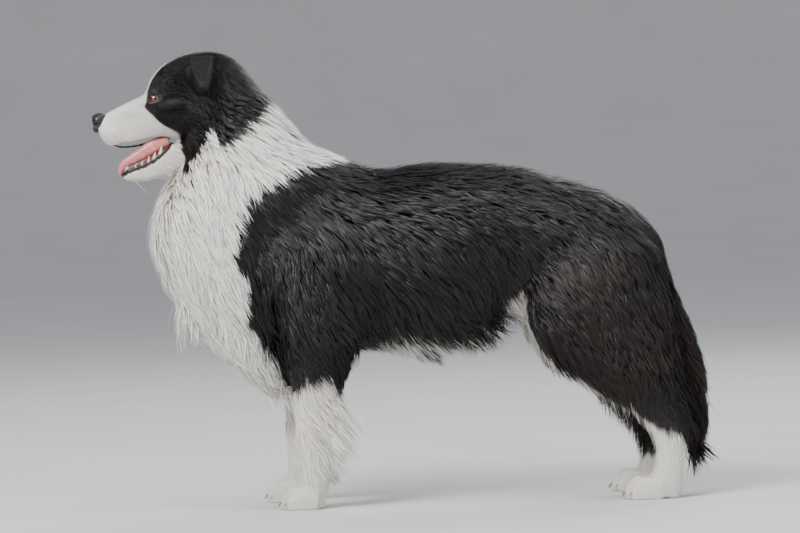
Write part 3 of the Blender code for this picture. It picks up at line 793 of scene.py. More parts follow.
def tissue(name):
    """Living tissue with a fine grain in two tones, as moist as its clear coat says."""
    low, high, grain_mm, depth_mm, roughness, wet, inside = TISSUES[name]
    material, tree = new_material(name)
    where = add_node(tree, "ShaderNodeTexCoord").outputs["Object"]
    grain = add_node(tree, "ShaderNodeTexVoronoi", {"Scale": 1000 / grain_mm}, {"Vector": where})
    blotch = {"Scale": 1000 / (grain_mm * 8), "Detail": 3.0}
    cloud = add_node(tree, "ShaderNodeTexNoise", blotch, {"Vector": where})
    tone = add_node(tree, "ShaderNodeValToRGB", links={"Fac": cloud.outputs["Fac"]})
    shades(tone, ((0.3, linear(low)), (0.7, linear(high))))
    relief = {"Strength": 0.7, "Distance": depth_mm / 1000, "invert": True}
    bump = add_node(tree, "ShaderNodeBump", relief, {"Height": grain.outputs["Distance"]})
    finish = {
        "IOR": 1.4,
        "Roughness": roughness,
        "Coat Weight": wet,
        "Coat Roughness": 0.12,
        "Subsurface Weight": inside,
        "Subsurface Scale": 0.003,
    }
    look = {"Base Color": tone.outputs["Color"], "Normal": bump.outputs["Normal"]}
    shader = add_node(tree, "ShaderNodeBsdfPrincipled", finish, look)
    add_node(tree, "ShaderNodeOutputMaterial", links={"Surface": shader.outputs["BSDF"]})
    return material


def eye_surface():
    """The eye: amber iris with fine spokes, a dark pupil and rim, all under a clear wet cornea."""
    material, tree = new_material("eye_cornea_clear_wet")
    reach = add_node(tree, "ShaderNodeAttribute", {"attribute_name": "gaze_angle"})
    around = add_node(tree, "ShaderNodeAttribute", {"attribute_name": "gaze_turn"})
    fibres = {"noise_dimensions": "1D", "Scale": 9.0, "Detail": 4.0, "Roughness": 0.7}
    spokes = add_node(tree, "ShaderNodeTexNoise", fibres, {"W": around.outputs["Fac"]})
    span = {"From Min": 0.3, "From Max": 0.7, "To Min": -0.05, "To Max": 0.05}
    wander = add_node(tree, "ShaderNodeMapRange", span, {"Value": spokes.outputs["Fac"]})
    parts = {0: reach.outputs["Fac"], 1: wander.outputs["Result"]}
    place = add_node(tree, "ShaderNodeMath", {"operation": "ADD"}, parts)
    iris, dark = np.array(colours().iris), np.array(linear("#0b0908"))
    rings = add_node(tree, "ShaderNodeValToRGB", links={"Fac": place.outputs["Value"]})
    inner = ((0.22, dark), (0.27, iris * 0.3), (0.40, iris), (0.58, iris * 0.8))
    outer = ((0.68, dark), (0.78, dark * 1.5), (0.95, np.array(linear("#5d4d45"))))
    shades(rings, inner + outer)
    wet = {"IOR": 1.38, "Roughness": 0.08, "Coat Weight": 1.0, "Coat Roughness": 0.02, "Coat IOR": 1.38}
    shader = add_node(tree, "ShaderNodeBsdfPrincipled", wet, {"Base Color": rings.outputs["Color"]})
    add_node(tree, "ShaderNodeOutputMaterial", links={"Surface": shader.outputs["BSDF"]})
    return material


def studio_paper():
    """Studio paper sweep: matt, pale, with a faint mottling of about 300 mm."""
    material, tree = new_material("studio_paper_matt")
    where = add_node(tree, "ShaderNodeTexCoord").outputs["Object"]
    cloud = add_node(tree, "ShaderNodeTexNoise", {"Scale": 3.0, "Detail": 2.0}, {"Vector": where})
    tone = add_node(tree, "ShaderNodeValToRGB", links={"Fac": cloud.outputs["Fac"]})
    shades(tone, ((0.3, linear("#cfcecb")), (0.7, linear("#d4d3d0"))))
    look = {"Base Color": tone.outputs["Color"]}
    shader = add_node(tree, "ShaderNodeBsdfPrincipled", {"Roughness": 0.85}, look)
    add_node(tree, "ShaderNodeOutputMaterial", links={"Surface": shader.outputs["BSDF"]})
    return material


def material_of(maker, *name):
    """Each material is made once and shared."""
    key = (maker.__name__, *name)
    if key not in MADE:
        MADE[key] = maker(*name)
    return MADE[key]


# ---------------------------------------------------------------- the skin


def eye_axes(side):
    """The way out of an eye, and the two directions across its lids (towards the nose, and up)."""
    out = Vector((-math.cos(EYE_TURN), side * math.sin(EYE_TURN), 0.10)).normalized()
    inward = Vector((-math.sin(EYE_TURN), -side * math.cos(EYE_TURN), -0.16)).normalized()
    inward = (inward - out * inward.dot(out)).normalized()
    up = inward.cross(out) if side < 0 else out.cross(inward)
    if up.z < 0:
        up = -up
    return out, inward, up


def eye_middle(side):
    return Vector(to_world((EYE_CENTRE[0], side * EYE_CENTRE[1], EYE_CENTRE[2])))


def slit(count):
    """The almond of the lids: places across and up, in millimetres."""
    half, tall = EYE_SLIT
    points = []
    for i in range(count):
        turn = FULL_TURN * i / count
        c, s = math.cos(turn), math.sin(turn)
        v = tall * math.copysign(abs(s) ** 1.15, s) * (1 - 0.18 * c)
        points.append((half * c, v * (1.0 if s > 0 else 0.86)))
    return points


def slit_cutter(side):
    """A plug the shape of the opening between the lids, flaring outwards."""
    out, inward, up = eye_axes(side)
    middle = eye_middle(side)
    shape = bmesh.new()
    loops = []
    for depth, grow in ((3, 0.94), (10, 0.97), (13, 1.04), (26, 1.3)):
        ring = []
        for u, v in slit(28):
            ring.append(shape.verts.new(middle + (out * depth + (inward * u + up * v) * grow) * MM))
        loops.append(ring)
    bridge(shape, loops)
    return object_of(shape, "slit_cutter")


def rough_body():
    """Every part of the body as overlapping closed forms, before they are fused."""
    shape = bmesh.new()
    for outline in (TRUNK, NECK, FRILL):
        add_sweep(shape, outline, sides=32)
    add_sweep(shape, SKULL, sides=40, per_span=8, squareness=2.3)
    add_sweep(shape, JAW, sides=32, per_span=8, squareness=3)
    add_sweep(shape, TAIL, sides=24)
    for side in SIDES:
        add_sweep(shape, FORELEG, side=side, step=FORE_STEP[side])
        add_sweep(shape, HINDLEG, side=side, step=HIND_STEP[side])
        add_sweep(shape, EAR, side=side, sides=32, per_span=8, squareness=2.6)
        add_paw(shape, FORE_TOES, side, FORE_STEP[side])
        add_paw(shape, HIND_TOES, side, HIND_STEP[side])
        add_egg(shape, (-372, side * 34, 641), (20, 9, 7))                # brow
        add_egg(shape, (-352, side * 44, 622), (26, 13, 11), turn=-0.15)     # cheekbone
        add_egg(shape, (-305, side * 38, 562), (32, 22, 34), turn=0.4)       # cheek
        add_egg(shape, (EYE_CENTRE[0], side * EYE_CENTRE[1], EYE_CENTRE[2]), (13, 13, 13))
        add_egg(shape, (-447, side * 12, 577), (17, 13, 17))             # whisker pad
        add_egg(shape, (-318, side * 44, 664), (20, 12, 22))             # root of the ear
        add_egg(shape, (-308, side * 55, 660), (17, 13, 27), turn=0.1)       # hollow of the ear
    add_egg(shape, (-272, 0, 580), (44, 50, 44))
    return object_of(shape, "skin")


# How far the head is drawn out (or in, if less than 0) at a place: millimetres, place, reach. The
# places with a y lie on both sides.
HEAD_PLANES = (
    (-3.2, (-402, 0, 642), (10, 9, 12)),       # stop
    (-1.6, (-375, 0, 680), (26, 5, 16)),       # furrow of the brow
    (-3.5, (-398, 22, 622), (9, 7, 9)),        # before the eye
    (-2.5, (-424, 25, 604), (22, 10, 8)),      # side of the bridge
    (-3.0, (-352, 50, 652), (16, 12, 12)),     # temple
    (1.6, (-446, 22, 577), (12, 10, 9)),       # flews
    (1.5, (-416, 27, 568), (24, 10, 8)),
    (-1.2, (-462, 0, 575), (12, 2.2, 14)),     # furrow under the nose
    (1.2, (-428, 0, 506), (10, 12, 6)),        # chin
    (2.0, (-384, 32, 643), (10, 9, 5)),        # upper lid
)


def carve_head(mesh):
    """Draws the head's own planes into the fused skin: stop, muzzle, sockets, temples and lips."""
    at = to_outline(coordinates(mesh))
    push = np.zeros(len(at))
    for amount, centre, radii in HEAD_PLANES:
        push += amount * dent(at, centre, radii, mirror=centre[1] != 0)
    push_out(mesh, push)


def part_toes(mesh):
    """Presses the furrows between the toes into the paws."""
    at = to_outline(coordinates(mesh))
    push = np.zeros(len(at))
    for toes, step in PAWS:
        for side in SIDES:
            for gap in (-1, 0, 1):
                y = side * (toes[1] + gap * TOE_PITCH)
                x = toes[0] + step[side] + 10 + abs(gap) * 4
                push -= 3.0 * dent(at, (x, y, 16), (20, 2.4, 26), False)
    push_out(mesh, push)


def outer_shell():
    """The faces of the frame's solids that are on the outside, and not in a cut between two."""
    verts, tris = [], []
    for name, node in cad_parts.items():
        if name.startswith(("eye", "nose", "tongue")):
            continue
        mesh = node.data
        mesh.calc_loop_triangles()
        base = len(verts)
        verts += [node.matrix_world @ v.co for v in mesh.vertices]
        tris += [tuple(base + i for i in t.vertices) for t in mesh.loop_triangles]
    everything = BVHTree.FromPolygons(verts, tris)
    outside = []
    for tri in tris:
        a, b, c = (verts[i] for i in tri)
        normal = (b - a).cross(c - a)
        if normal.length < 1e-12:
            continue
        normal.normalize()
        hit = everything.ray_cast((a + b + c) / 3 + normal * 0.00005, normal, 0.0015)
        if hit[0] is None:
            outside.append(tri)
    return BVHTree.FromPolygons(verts, outside)


def coat_depths(mesh):
    """How far the outside of the coat is from each point of the skin, evened out."""
    shell = outer_shell()
    depth = np.array([shell.find_nearest(v.co)[3] or 0.0 for v in mesh.vertices])
    depth = np.clip(depth, 0.0006, 0.06)[:, None]
    ends = edge_ends(mesh)
    for _ in range(8):
        depth = 0.5 * depth + 0.5 * neighbour_mean(depth, ends)
    return depth[:, 0]


def thin_out(skin, keen):
    """Fewer faces where the form is plain, and all of them on the head, ears and paws."""
    thin = skin.vertex_groups.new(name="thin")
    loose = np.clip(1 - keen, 0, 1)
    for value in (0.25, 0.5, 0.75, 1.0):
        members = np.flatnonzero((loose > value - 0.25) & (loose <= value))
        thin.add(members.tolist(), value, "REPLACE")
    decimate = skin.modifiers.new("thin", "DECIMATE")
    decimate.vertex_group = "thin"
    decimate.ratio = SKIN_KEPT
    decimate.vertex_group_factor = 1.0
    bake_modifiers(skin)


def open_face(skin):
    """Cuts the mouth and the slits of the lids, and returns the surface of the mouth."""
    shape = bmesh.new()
    add_sweep(shape, MOUTH, sides=28, per_span=8, squareness=3)
    mouth = object_of(shape, "mouth_cutter")
    inside = BVHTree.FromObject(mouth, bpy.context.evaluated_depsgraph_get())
    cut_away(skin, mouth)
    for side in SIDES:
        cut_away(skin, slit_cutter(side))
    skin.vertex_groups.clear()
    triangulate(skin.data)
    return inside


def colour_skin(mesh, inside):
    """The markings on the skin, the flesh of the mouth, and the dark of the lips and lids."""
    near = np.array([inside.find_nearest(v.co)[3] or 0.0 for v in mesh.vertices])
    at = to_outline(coordinates(mesh))
    flesh = (near < 0.0002) & (at[:, 0] > -456) & (at[:, 0] < -340) & (at[:, 2] > 500)
    low = np.array(GROOM["lips"]["lower"])
    low = low[np.argsort(low[:, 0])]
    edge = np.interp(at[:, 0], low[:, 0], low[:, 2])
    half = np.interp(at[:, 0], low[:, 0], low[:, 1])
    jaw = (at[:, 0] < -354) & (at[:, 2] < edge + 9) & (at[:, 2] > edge - 5)
    flesh |= jaw & (vertex_normals(mesh)[:, 2] > 0.25) & (np.abs(at[:, 1]) < half - 2)
    set_attribute(mesh, "flesh", flesh.astype(float))
    white = whiteness(at)[:, None]
    c = colours()
    dark, pale = np.array(c.black_hair), np.array(c.white_hair)
    under = dark * 0.7 * (1 - white) + (0.55 * pale + 0.3 * np.array(c.shaded_cream_root)) * white
    band = (at[:, 0] < -352) & (at[:, 0] > -434) & (np.abs(at[:, 2] - edge + 1) < 3.6)
    under[band] = linear("#1b1716")
    for side in SIDES:
        eye = (EYE_CENTRE[0] - 5, side * (EYE_CENTRE[1] + 7), EYE_CENTRE[2])
        rim = dent(at, eye, (13, 13, 9), mirror=False)
        under = under * (1 - ramp(rim, 0.25, 0.6)[:, None] * 0.9)
    set_attribute(mesh, "hair_colour", under)


def build_skin():
    skin = rough_body()
    fuse(skin, SKIN_VOXEL)
    mesh = skin.data
    at = to_outline(coordinates(mesh))
    head = ramp(-at[:, 0], 290, 330) * ramp(at[:, 2], 480, 510)
    ear = ramp(np.abs(at[:, 1]), 48, 56) * ramp(at[:, 2], 620, 640) * ramp(-at[:, 0], 270, 280)
    paw = ramp(-at[:, 2], -60, -40)
    # The body flows smooth, and the head, ears and paws keep their form.
    keen = np.maximum(np.maximum(head, ear), paw)
    relax(mesh, 1 - keen, 60)
    relax(mesh, 1 - np.maximum(0.75 * ear, paw), 7)
    relax(mesh, paw, 5)
    part_toes(mesh)
    carve_head(mesh)
    relax(mesh, np.ones(len(mesh.vertices)), 2)
    raise_soles(mesh, SKIN_FLOOR)
    thin_out(skin, keen)
    GROOM["lips"] = lip_lines(skin)
    inside = open_face(skin)
    colour_skin(skin.data, inside)
    set_attribute(skin.data, "coat_depth", coat_depths(skin.data))
    dress(skin, material_of(haired_skin), FLESH + ("ear_left", "ear_right"))
    return skin


def triangulate(mesh):
    shape = bmesh.new()
    shape.from_mesh(mesh)
    bmesh.ops.dissolve_degenerate(shape, edges=shape.edges, dist=1e-6)
    bmesh.ops.triangulate(shape, faces=shape.faces)
    shape.to_mesh(mesh)
    shape.free()
    mesh.validate()


def lip_lines(skin):
    """Where the edges of the lower and upper lips run along the skin, as (x, half y, z)."""
    tree = BVHTree.FromObject(skin, bpy.context.evaluated_depsgraph_get())
    found = {}
    for name, line in LIPS.items():
        points = []
        for x, z in line:
            start = Vector(to_world((x, -90, z)))
            hit = tree.ray_cast(start, Vector((0, 1, 0)), 0.09)[0]
            half = 6.0 if hit is None else abs(hit.y) / MM
            points.append((x, half, z))
        found[name] = points
    return found


LIPS = {
    "lower": (
        (-431, 516), (-424, 520), (-414, 524), (-404, 527), (-394, 531), (-384, 536), (-375, 542),
        (-366, 550), (-359, 558), (-356, 564),
    ),
    "upper": (
        (-356, 566), (-366, 571), (-378, 569), (-392, 564), (-406, 560), (-420, 558), (-434, 558),
        (-446, 561),
    ),
}


# ---------------------------------------------------------------- the coat


def region_of(at):
    """Which coat piece each outline point belongs to."""
    x, y, z = at[:, 0], np.abs(at[:, 1]), at[:, 2]
    side = np.where(at[:, 1] < 0, "left", "right")
    name = np.full(len(at), "side", dtype="U12")
    name[(x > 165 + (300 - z) * 0.1) & (z < 430)] = "thigh"
    name[(x > 235) & (z < 215)] = "shank"
    name[(x > 358) & (y < 24) & (z < 405)] = "tail"
    neck_edge = -62 + (z - 575) * 0.8455
    name[(x < neck_edge) & (z > 232)] = "ruff"
    name[(x < -100) & (z <= 330) & (y < 48)] = "ruff"
    head_edge = -346 + (z - 527) * 0.723
    name[(x < head_edge) & (z > 496)] = "head"
    name[(x < -40) & (z < 262) & (y > 42)] = "foreleg"
    name[(x < -40) & (z < 130)] = "foreleg"
    name[(x < -374) & (z > 496)] = "face"
    strip = x + 16 * np.clip(1 - z / 300, 0, 1) * (at[:, 1] > 0) > -131 + 0.5 * np.maximum(0, z - 200)
    name[strip & (x < -40) & (z < 240) & (z > 52) & (y > 48)] = "fringe"
    ear = (y > 60) & (z > 618) & (x > -345) & (x < -272)
    name[ear] = "ear"
    return np.char.add(np.char.add(name, "_"), side)


FINE_SHARE = 0.6             # how many of the tufts are single fine strands over the locks
FINE_WIDTH = 0.28            # a fine strand's width as a share of a lock's
LOCK_TUFTS = 9               # tufts that gather into one lock
LEAP = 0.012                 # metres: a tuft that would jump further lies on in its own way

# Each coat piece: its tufts on one side of the dog, the segments of a tuft, and half its width in
# millimetres.
COATS = {
    "side": (11000, 2, 2.1),
    "ruff": (11500, 3, 2.1),
    "thigh": (9500, 2, 1.9),
    "shank": (5000, 2, 1.0),
    "tail": (3200, 3, 2.0),
    "fringe": (2900, 3, 1.5),
    "foreleg": (5200, 2, 1.0),
    "head": (7600, 2, 0.9),
    "face": (16500, 1, 0.5),
    "ear": (2300, 2, 0.7),
}


def comb(at):
    """Direction, length, stand and freedom of a hair at each outline point, from the guides."""
    places = np.array([g[0] for g in GUIDES], float)
    ways = unit(np.array([g[1] for g in GUIDES], float))
    rest = np.array([g[2:] for g in GUIDES], float)
    here = at.copy()
    here[:, 1] = np.abs(here[:, 1])
    way, other = np.empty_like(at), np.empty((len(at), 3))
    for first in range(0, len(at), 8000):
        part = slice(first, first + 8000)
        away = ((here[part, None] - places[None]) ** 2).sum(axis=2)
        weight = 1 / (away + 16) ** 1.9
        weight /= weight.sum(axis=1, keepdims=True)
        way[part] = weight @ ways
        other[part] = weight @ rest
    way[:, 1] *= np.where(at[:, 1] < 0, -1, 1)
    return unit(way), other


def bare_faces(co, tris, at, flesh):
    """Which faces of the skin grow no coat: flesh, soles, nose, mouth, lips and eyes."""
    bare = flesh[tris].max(axis=1) > 0.5
    bare |= at[:, 2] < 2.5
    bare |= (at[:, 0] < -458) & (at[:, 2] > 586)
    mouth = (at[:, 0] < -352) & (at[:, 0] > -455) & (at[:, 2] > 526) & (at[:, 2] < 575)
    bare |= mouth & (np.abs(at[:, 1]) < 13)
    for name, gap in (("lower", 3.4), ("upper", 1.6)):
        line = np.array(GROOM["lips"][name])
        line = line[np.argsort(line[:, 0])]
        off = np.abs(at[:, 2] - np.interp(at[:, 0], line[:, 0], line[:, 2]))
        bare |= (off < gap) & (at[:, 0] < -354) & (at[:, 0] > line[0, 0] - 2)
    for side in SIDES:
        out, inward, up = eye_axes(side)
        away = (co[tris].mean(axis=1) - np.array(eye_middle(side))) / MM
        u, v, w = away @ np.array(inward), away @ np.array(up), away @ np.array(out)
        inside = (u / (EYE_SLIT[0] + 2.0)) ** 2 + (v / (EYE_SLIT[1] + 1.5)) ** 2 < 1
        bare |= inside & (w > 0) & (w < 30)
    return bare


def sample_roots(skin):
    """Roots spread evenly over the skin, as many in each region as its coat piece has tufts."""
    mesh = skin.data
    co, normals = coordinates(mesh), vertex_normals(mesh)
    depth = get_attribute(mesh, "coat_depth")
    flesh = get_attribute(mesh, "flesh")
    tris = np.array([face.vertices[:] for face in mesh.polygons])
    a, b, c = co[tris[:, 0]], co[tris[:, 1]], co[tris[:, 2]]
    area = np.linalg.norm(np.cross(b - a, c - a), axis=1) / 2
    at = to_outline((a + b + c) / 3)
    regions = region_of(at)
    bare = bare_faces(co, tris, at, flesh)
    rng = np.random.default_rng(11)
    found = {}
    for name, (count, _, _) in COATS.items():
        for mark in MARKS.values():
            weight = area * (regions == f"{name}_{mark}") * ~bare
            weight = weight * density(at, name)
            total = np.cumsum(weight)
            if total[-1] <= 0:
                raise RuntimeError(f"no skin for the {name} coat on the {mark}")
            picks = (np.arange(count) + rng.uniform(0, 1, count)) / count * total[-1]
            face = np.searchsorted(total, picks).clip(0, len(tris) - 1)
            r1, r2 = rng.uniform(0, 1, count), rng.uniform(0, 1, count)
            flip = r1 + r2 > 1
            r1[flip], r2[flip] = 1 - r1[flip], 1 - r2[flip]
            mix = np.stack([1 - r1 - r2, r1, r2], axis=1)
            corners = tris[face]
            root = np.einsum("ij,ijk->ik", mix, co[corners])
            normal = unit(np.einsum("ij,ijk->ik", mix, normals[corners]))
            deep = (mix * depth[corners]).sum(axis=1)
            order = rng.permutation(count)
            found[f"{name}_{mark}"] = (root[order], normal[order], deep[order])
    return found


def density(at, name):
    """Where a coat piece has more tufts and where fewer."""
    if name == "head":
        return 1.0 + 0.8 * ramp(-at[:, 0], 320, 360)
    if name in ("side", "thigh"):
        return 1 - 0.15 * ramp(40 - np.abs(at[:, 1]), -20, 20) * ramp(300 - at[:, 2], -10, 20)
    if name in ("foreleg", "shank"):
        return 1 + 1.0 * ramp(60 - at[:, 2], -20, 20)
    return np.ones(len(at))


def surface_finder(skin):
    """The nearest point, normal and coat depth on the skin for many points."""
    mesh = skin.data
    co, normals = coordinates(mesh), vertex_normals(mesh)
    depth = get_attribute(mesh, "coat_depth")
    tree = KDTree(len(co))
    for i, p in enumerate(co):
        tree.insert(p, i)
    tree.balance()

    def nearest(points):
        near = np.fromiter((tree.find(p)[1] for p in points), int, len(points))
        normal = normals[near]
        lift = ((points - co[near]) * normal).sum(axis=1, keepdims=True)
        return points - normal * lift, normal, depth[near], lift[:, 0]

    return nearest


def gather(line, root, clumps, pull):
    """Tufts gather into locks: each leans to the nearest of the first few, and most at its tip."""
    tree = KDTree(clumps)
    for i in range(clumps):
        tree.insert(root[i], i)
    tree.balance()
    own = np.fromiter((tree.find(p)[1] for p in root), int, len(root))
    pull[:clumps] = 0
    steps = line.shape[1] - 1
    for k in range(1, steps + 1):
        line[:, k] += (line[own, k] - line[:, k]) * (pull * (k / steps) ** 1.3)[:, None]


def grow(name, roots, nearest, steps, seed):
    """The middle line of each tuft, as (tufts, steps + 1, 3), with its surface normals."""
    root, normal, deep = roots
    rng = np.random.default_rng(seed)
    count = len(root)
    at = to_outline(root)
    way, other = comb(at)
    length, stand, free = other.T
    # Longer dark hair hangs before the far hock.
    fall = ramp(at[:, 1], 40, 55) * ramp(at[:, 0], 262, 290) * ramp(392 - at[:, 0], 0, 20)
    fall = fall * ramp(200 - at[:, 2], 0, 40) * ramp(at[:, 2], 70, 95)
    length = length + fall * (50 - length)
    free = np.maximum(free, 0.7 * fall)
    way = unit(way * (1 - fall)[:, None] + np.array([-0.15, 0, -1.0]) * fall[:, None])
    wander = np.stack([wobble(at, 26, seed + k) for k in (1, 2, 3)], axis=1)
    way = way + 0.17 * wander
    length = length * MM * (1 + 0.12 * wobble(at, 30, seed + 4)) * rng.uniform(0.75, 1.12, count)
    thin = rng.uniform(0, 1, count) < FINE_SHARE
    length = np.where(thin, length * 1.15, length)
    layer = rng.uniform(0, 1, count) ** 0.7
    stand = stand * (0.25 + 0.88 * layer) * np.where(thin, 1.1, 0.85)
    least = length * 0.16
    clumps = max(8, count // LOCK_TUFTS)
    jitter = rng.normal(0, 1, (count, 3)) * 0.045
    jitter[:clumps] += rng.normal(0, 1, (clumps, 3)) * 0.10
    way = unit(way + jitter)
    phase = rng.uniform(0, 6.283, count)
    swing = 0.045 * ramp(length, 0.02, 0.05)
    line = np.empty((count, steps + 1, 3))
    up = np.empty((count, steps + 1, 3))
    line[:, 0] = root - normal * 0.0008
    up[:, 0] = normal
    base, n = root.copy(), normal.copy()
    hang = root.copy()
    for k in range(1, steps + 1):
        f = k / steps
        tangent = way - n * (way * n).sum(axis=1, keepdims=True)
        tangent = unit(tangent + 1e-6)
        across = np.cross(tangent, n)
        sway = (np.sin(phase + 4.4 * f) * swing)[:, None]
        tangent = unit(tangent + across * sway * 4)
        ahead = base + tangent * (length / steps)[:, None]
        found, found_n, found_d, lift = nearest(ahead)
        near = (np.abs(lift) < LEAP) & ((found_n * n).sum(axis=1) > -0.2)
        base = np.where(near[:, None], found, ahead)
        n = np.where(near[:, None], found_n, n)
        d = np.where(near, found_d, d) if k > 1 else np.where(near, found_d, deep)
        rise = stand * (1 - (1 - f) ** 2)
        laid = base + n * (np.maximum(d, least) * rise)[:, None]
        drop = unit(tangent * 0.6 + way * 0.8 + n * 0.12)
        hang = hang + drop * (length / steps)[:, None]
        share = (free * f)[:, None]
        line[:, k] = laid * (1 - share) + hang * share
        up[:, k] = unit(n + 1e-6)
    pull = (0.35 + 0.35 * rng.uniform(0, 1, count)) * ramp(length, 0.004, 0.02)
    if name != "ear":
        gather(line, root, clumps, pull)
    line[:, :, 2] = np.maximum(line[:, :, 2], 0.0012)
    roll = rng.normal(0, 1, count) * (0.14 + 1.0 * free)
    return line, up, roll, length, thin


def tuft_faces(count, steps):
    """Corners of every face, and where each face begins: quads up each tuft, triangles at its ends."""
    around = ((0, 1), (1, 2), (2, 0))
    quads, tris = [], [(0, 2, 1)]
    for k in range(steps - 1):
        a, b = 3 * k, 3 * (k + 1)
        quads += [(a + i, a + j, b + j, b + i) for i, j in around]
    last = 3 * (steps - 1)
    tris += [(last + i, last + j, last + 3) for i, j in around]
    quads, tris = np.array(quads, int).reshape(-1, 4), np.array(tris, int)
    starts = (np.arange(count) * (3 * steps + 1))[:, None, None]
    loops = np.concatenate([(starts + quads[None]).reshape(-1), (starts + tris[None]).reshape(-1)])
    corners = np.concatenate([np.full(count * len(quads), 4), np.full(count * len(tris), 3)])
    return loops, np.concatenate([[0], np.cumsum(corners)[:-1]])


def tuft_mesh(name, line, up, roll, half_widths, root_colour, tip_colour, patches):
    """Builds every tuft of a coat piece: a thin ridged blade that tapers to its tip."""
    count, rings = line.shape[0], line.shape[1]
    steps = rings - 1
    along_it = unit(np.gradient(line, axis=1))
    flat_side = unit(np.cross(along_it, up))
    out = np.cross(flat_side, along_it)
    c, s = np.cos(roll)[:, None, None], np.sin(roll)[:, None, None]
    sideways = flat_side * c + out * s
    ridge = out * c - flat_side * s
    f = np.arange(rings) / steps
    wide = (0.75 + 0.25 * np.minimum(1, f * 3.0)) * (1 - f) ** 0.6
    w = (half_widths[:, None] * wide[None, :])[..., None]
    left = line - sideways * w
    right = line + sideways * w
    top = line + ridge * w * 0.35
    body = np.stack([left[:, :steps], top[:, :steps], right[:, :steps]], axis=2)
    verts = np.concatenate([body.reshape(count, steps * 3, 3), line[:, steps:]], axis=1)
    per = steps * 3 + 1
    loops, begin = tuft_faces(count, steps)
    mesh = bpy.data.meshes.new(name)
    mesh.vertices.add(count * per)
    mesh.vertices.foreach_set("co", verts.reshape(-1))
    mesh.loops.add(len(loops))
    mesh.loops.foreach_set("vertex_index", loops)
    mesh.polygons.add(len(begin))
    mesh.polygons.foreach_set("loop_start", begin)
    mesh.update(calc_edges=True)
    # The two long edges of a tuft are crisp, so that light falls on it as on a flat soft lock.
    ends = np.sort(edge_ends(mesh) % per, axis=1)
    long_edge = (ends[:, 0] % 3 != 1) & ((ends[:, 1] == ends[:, 0] + 3) | (ends[:, 1] == per - 1))
    sharp = mesh.attributes.new("sharp_edge", "BOOLEAN", "EDGE")
    sharp.data.foreach_set("value", long_edge)
    shade = np.concatenate([np.repeat(f[:steps], 3), [1.0]])
    mix = np.minimum(1, shade * 1.5)[None, :, None]
    colour = root_colour[:, None] * (1 - mix) + tip_colour[:, None] * mix
    # Painted shade and highlight: each tuft's two long edges are drawn darker and its ridge lighter.
    ridge_highlight_edge_shade = np.concatenate([np.tile([0.86, 1.08, 0.86], steps), [1.0]])
    set_attribute(mesh, "hair_colour", (colour * ridge_highlight_edge_shade[None, :, None]).reshape(-1, 3).clip(0, 1))
    across = np.concatenate([np.tile([-1.0, 0.0, 1.0], steps), [0.0]])
    own = np.modf(np.arange(count) * GOLDEN)[0]
    strand = np.stack(np.broadcast_arrays(across[None], shade[None], own[:, None]), axis=2)
    set_attribute(mesh, "strand", strand.reshape(-1, 3))
    spot_u = np.concatenate([np.tile([0.0, 0.5, 1.0], steps), [0.5]]) * PATCH
    spot_v = shade * PATCH
    u = (patches[:, :1] + spot_u[None, :]).reshape(-1)
    v = (patches[:, 1:] + spot_v[None, :]).reshape(-1)
    order = read(mesh.loops, "vertex_index", 1, int)[:, 0]
    layer = mesh.uv_layers.new(name="OFBake")
    layer.uv.foreach_set("vector", np.stack([u[order], v[order]], axis=1).ravel())
    return linked(name, mesh)


# The line each region is unrolled about: two outline points in X and Z, and y of the middle.
SPINES = {
    "side": ((-200, 390), (330, 390), 0),
    "ruff": ((-240, 620), (-270, 250), 0),
    "thigh": ((300, 430), (330, 190), 62),
    "shank": ((330, 200), (400, 0), 80),
    "tail": ((370, 400), (450, 60), 0),
    "foreleg": ((-140, 260), (-145, 0), 77),
    "head": ((-470, 590), (-240, 620), 0),
    "face": ((-470, 590), (-370, 600), 0),
    "fringe": ((-125, 260), (-130, 40), 77),
    "ear": ((-306, 700), (-306, 630), 60),
}


def unroll(at, name):
    """Places on a cylindrical unwrap of the region's own form, within 0 to 1."""
    (x0, z0), (x1, z1), y = SPINES[name]
    axis = np.array([x1 - x0, 0, z1 - z0], float)
    axis /= np.linalg.norm(axis)
    other = np.array([axis[2], 0, -axis[0]])
    here = at - np.array([x0, 0, z0], float)
    here[:, 1] = np.abs(at[:, 1]) - y
    u = here @ axis
    v = np.arctan2(here[:, 1], here @ other)
    spread = []
    for values in (u, v):
        low, high = values.min(), values.max()
        spread.append(0.004 + 0.988 * (values - low) / max(high - low, 1e-6))
    return np.stack(spread, axis=1)


def coat_piece(name, mark, seed):
    _, steps, half = COATS[name]
    root = GROOM["roots"][f"{name}_{mark}"]
    line, up, roll, length, thin = grow(name, root, GROOM["nearest"], steps, seed)
    at = to_outline(root[0])
    rng = np.random.default_rng(seed + 50)
    # A tuft takes the marking of the place that it covers, which is nearer its tip.
    covers = line[:, 0] * COVER[0] + line[:, -1] * COVER[1]
    root_colour, tip_colour = hair_colours(to_outline(covers), rng)
    share = np.clip(length / (0.012 if name in ("face", "ear") else 0.035), 0.5, 1.2)
    widths = half * MM * sizes().tuft_width * share * rng.uniform(0.7, 1.25, len(at))
    widths = np.where(thin, widths * FINE_WIDTH, widths)
    patches = unroll(at, name)
    piece = tuft_mesh(f"coat_{name}_{mark}", line, up, roll, widths, root_colour, tip_colour, patches)
    dress(piece, material_of(guard_hair))
    return piece


def grow_coats(names, first_seed):
    """Coat pieces on both sides of the dog, each pair with seeds of its own."""
    if "roots" not in GROOM:
        skin = bpy.data.objects["skin"]
        GROOM["nearest"] = surface_finder(skin)
        GROOM["roots"] = sample_roots(skin)
    for k, name in enumerate(names):
        for j, mark in enumerate(MARKS.values()):
            coat_piece(name, mark, first_seed + 100 * k + 10 * j + sizes().lock_seed)


# ---------------------------------------------------------------- eyes, nose, mouth and feet


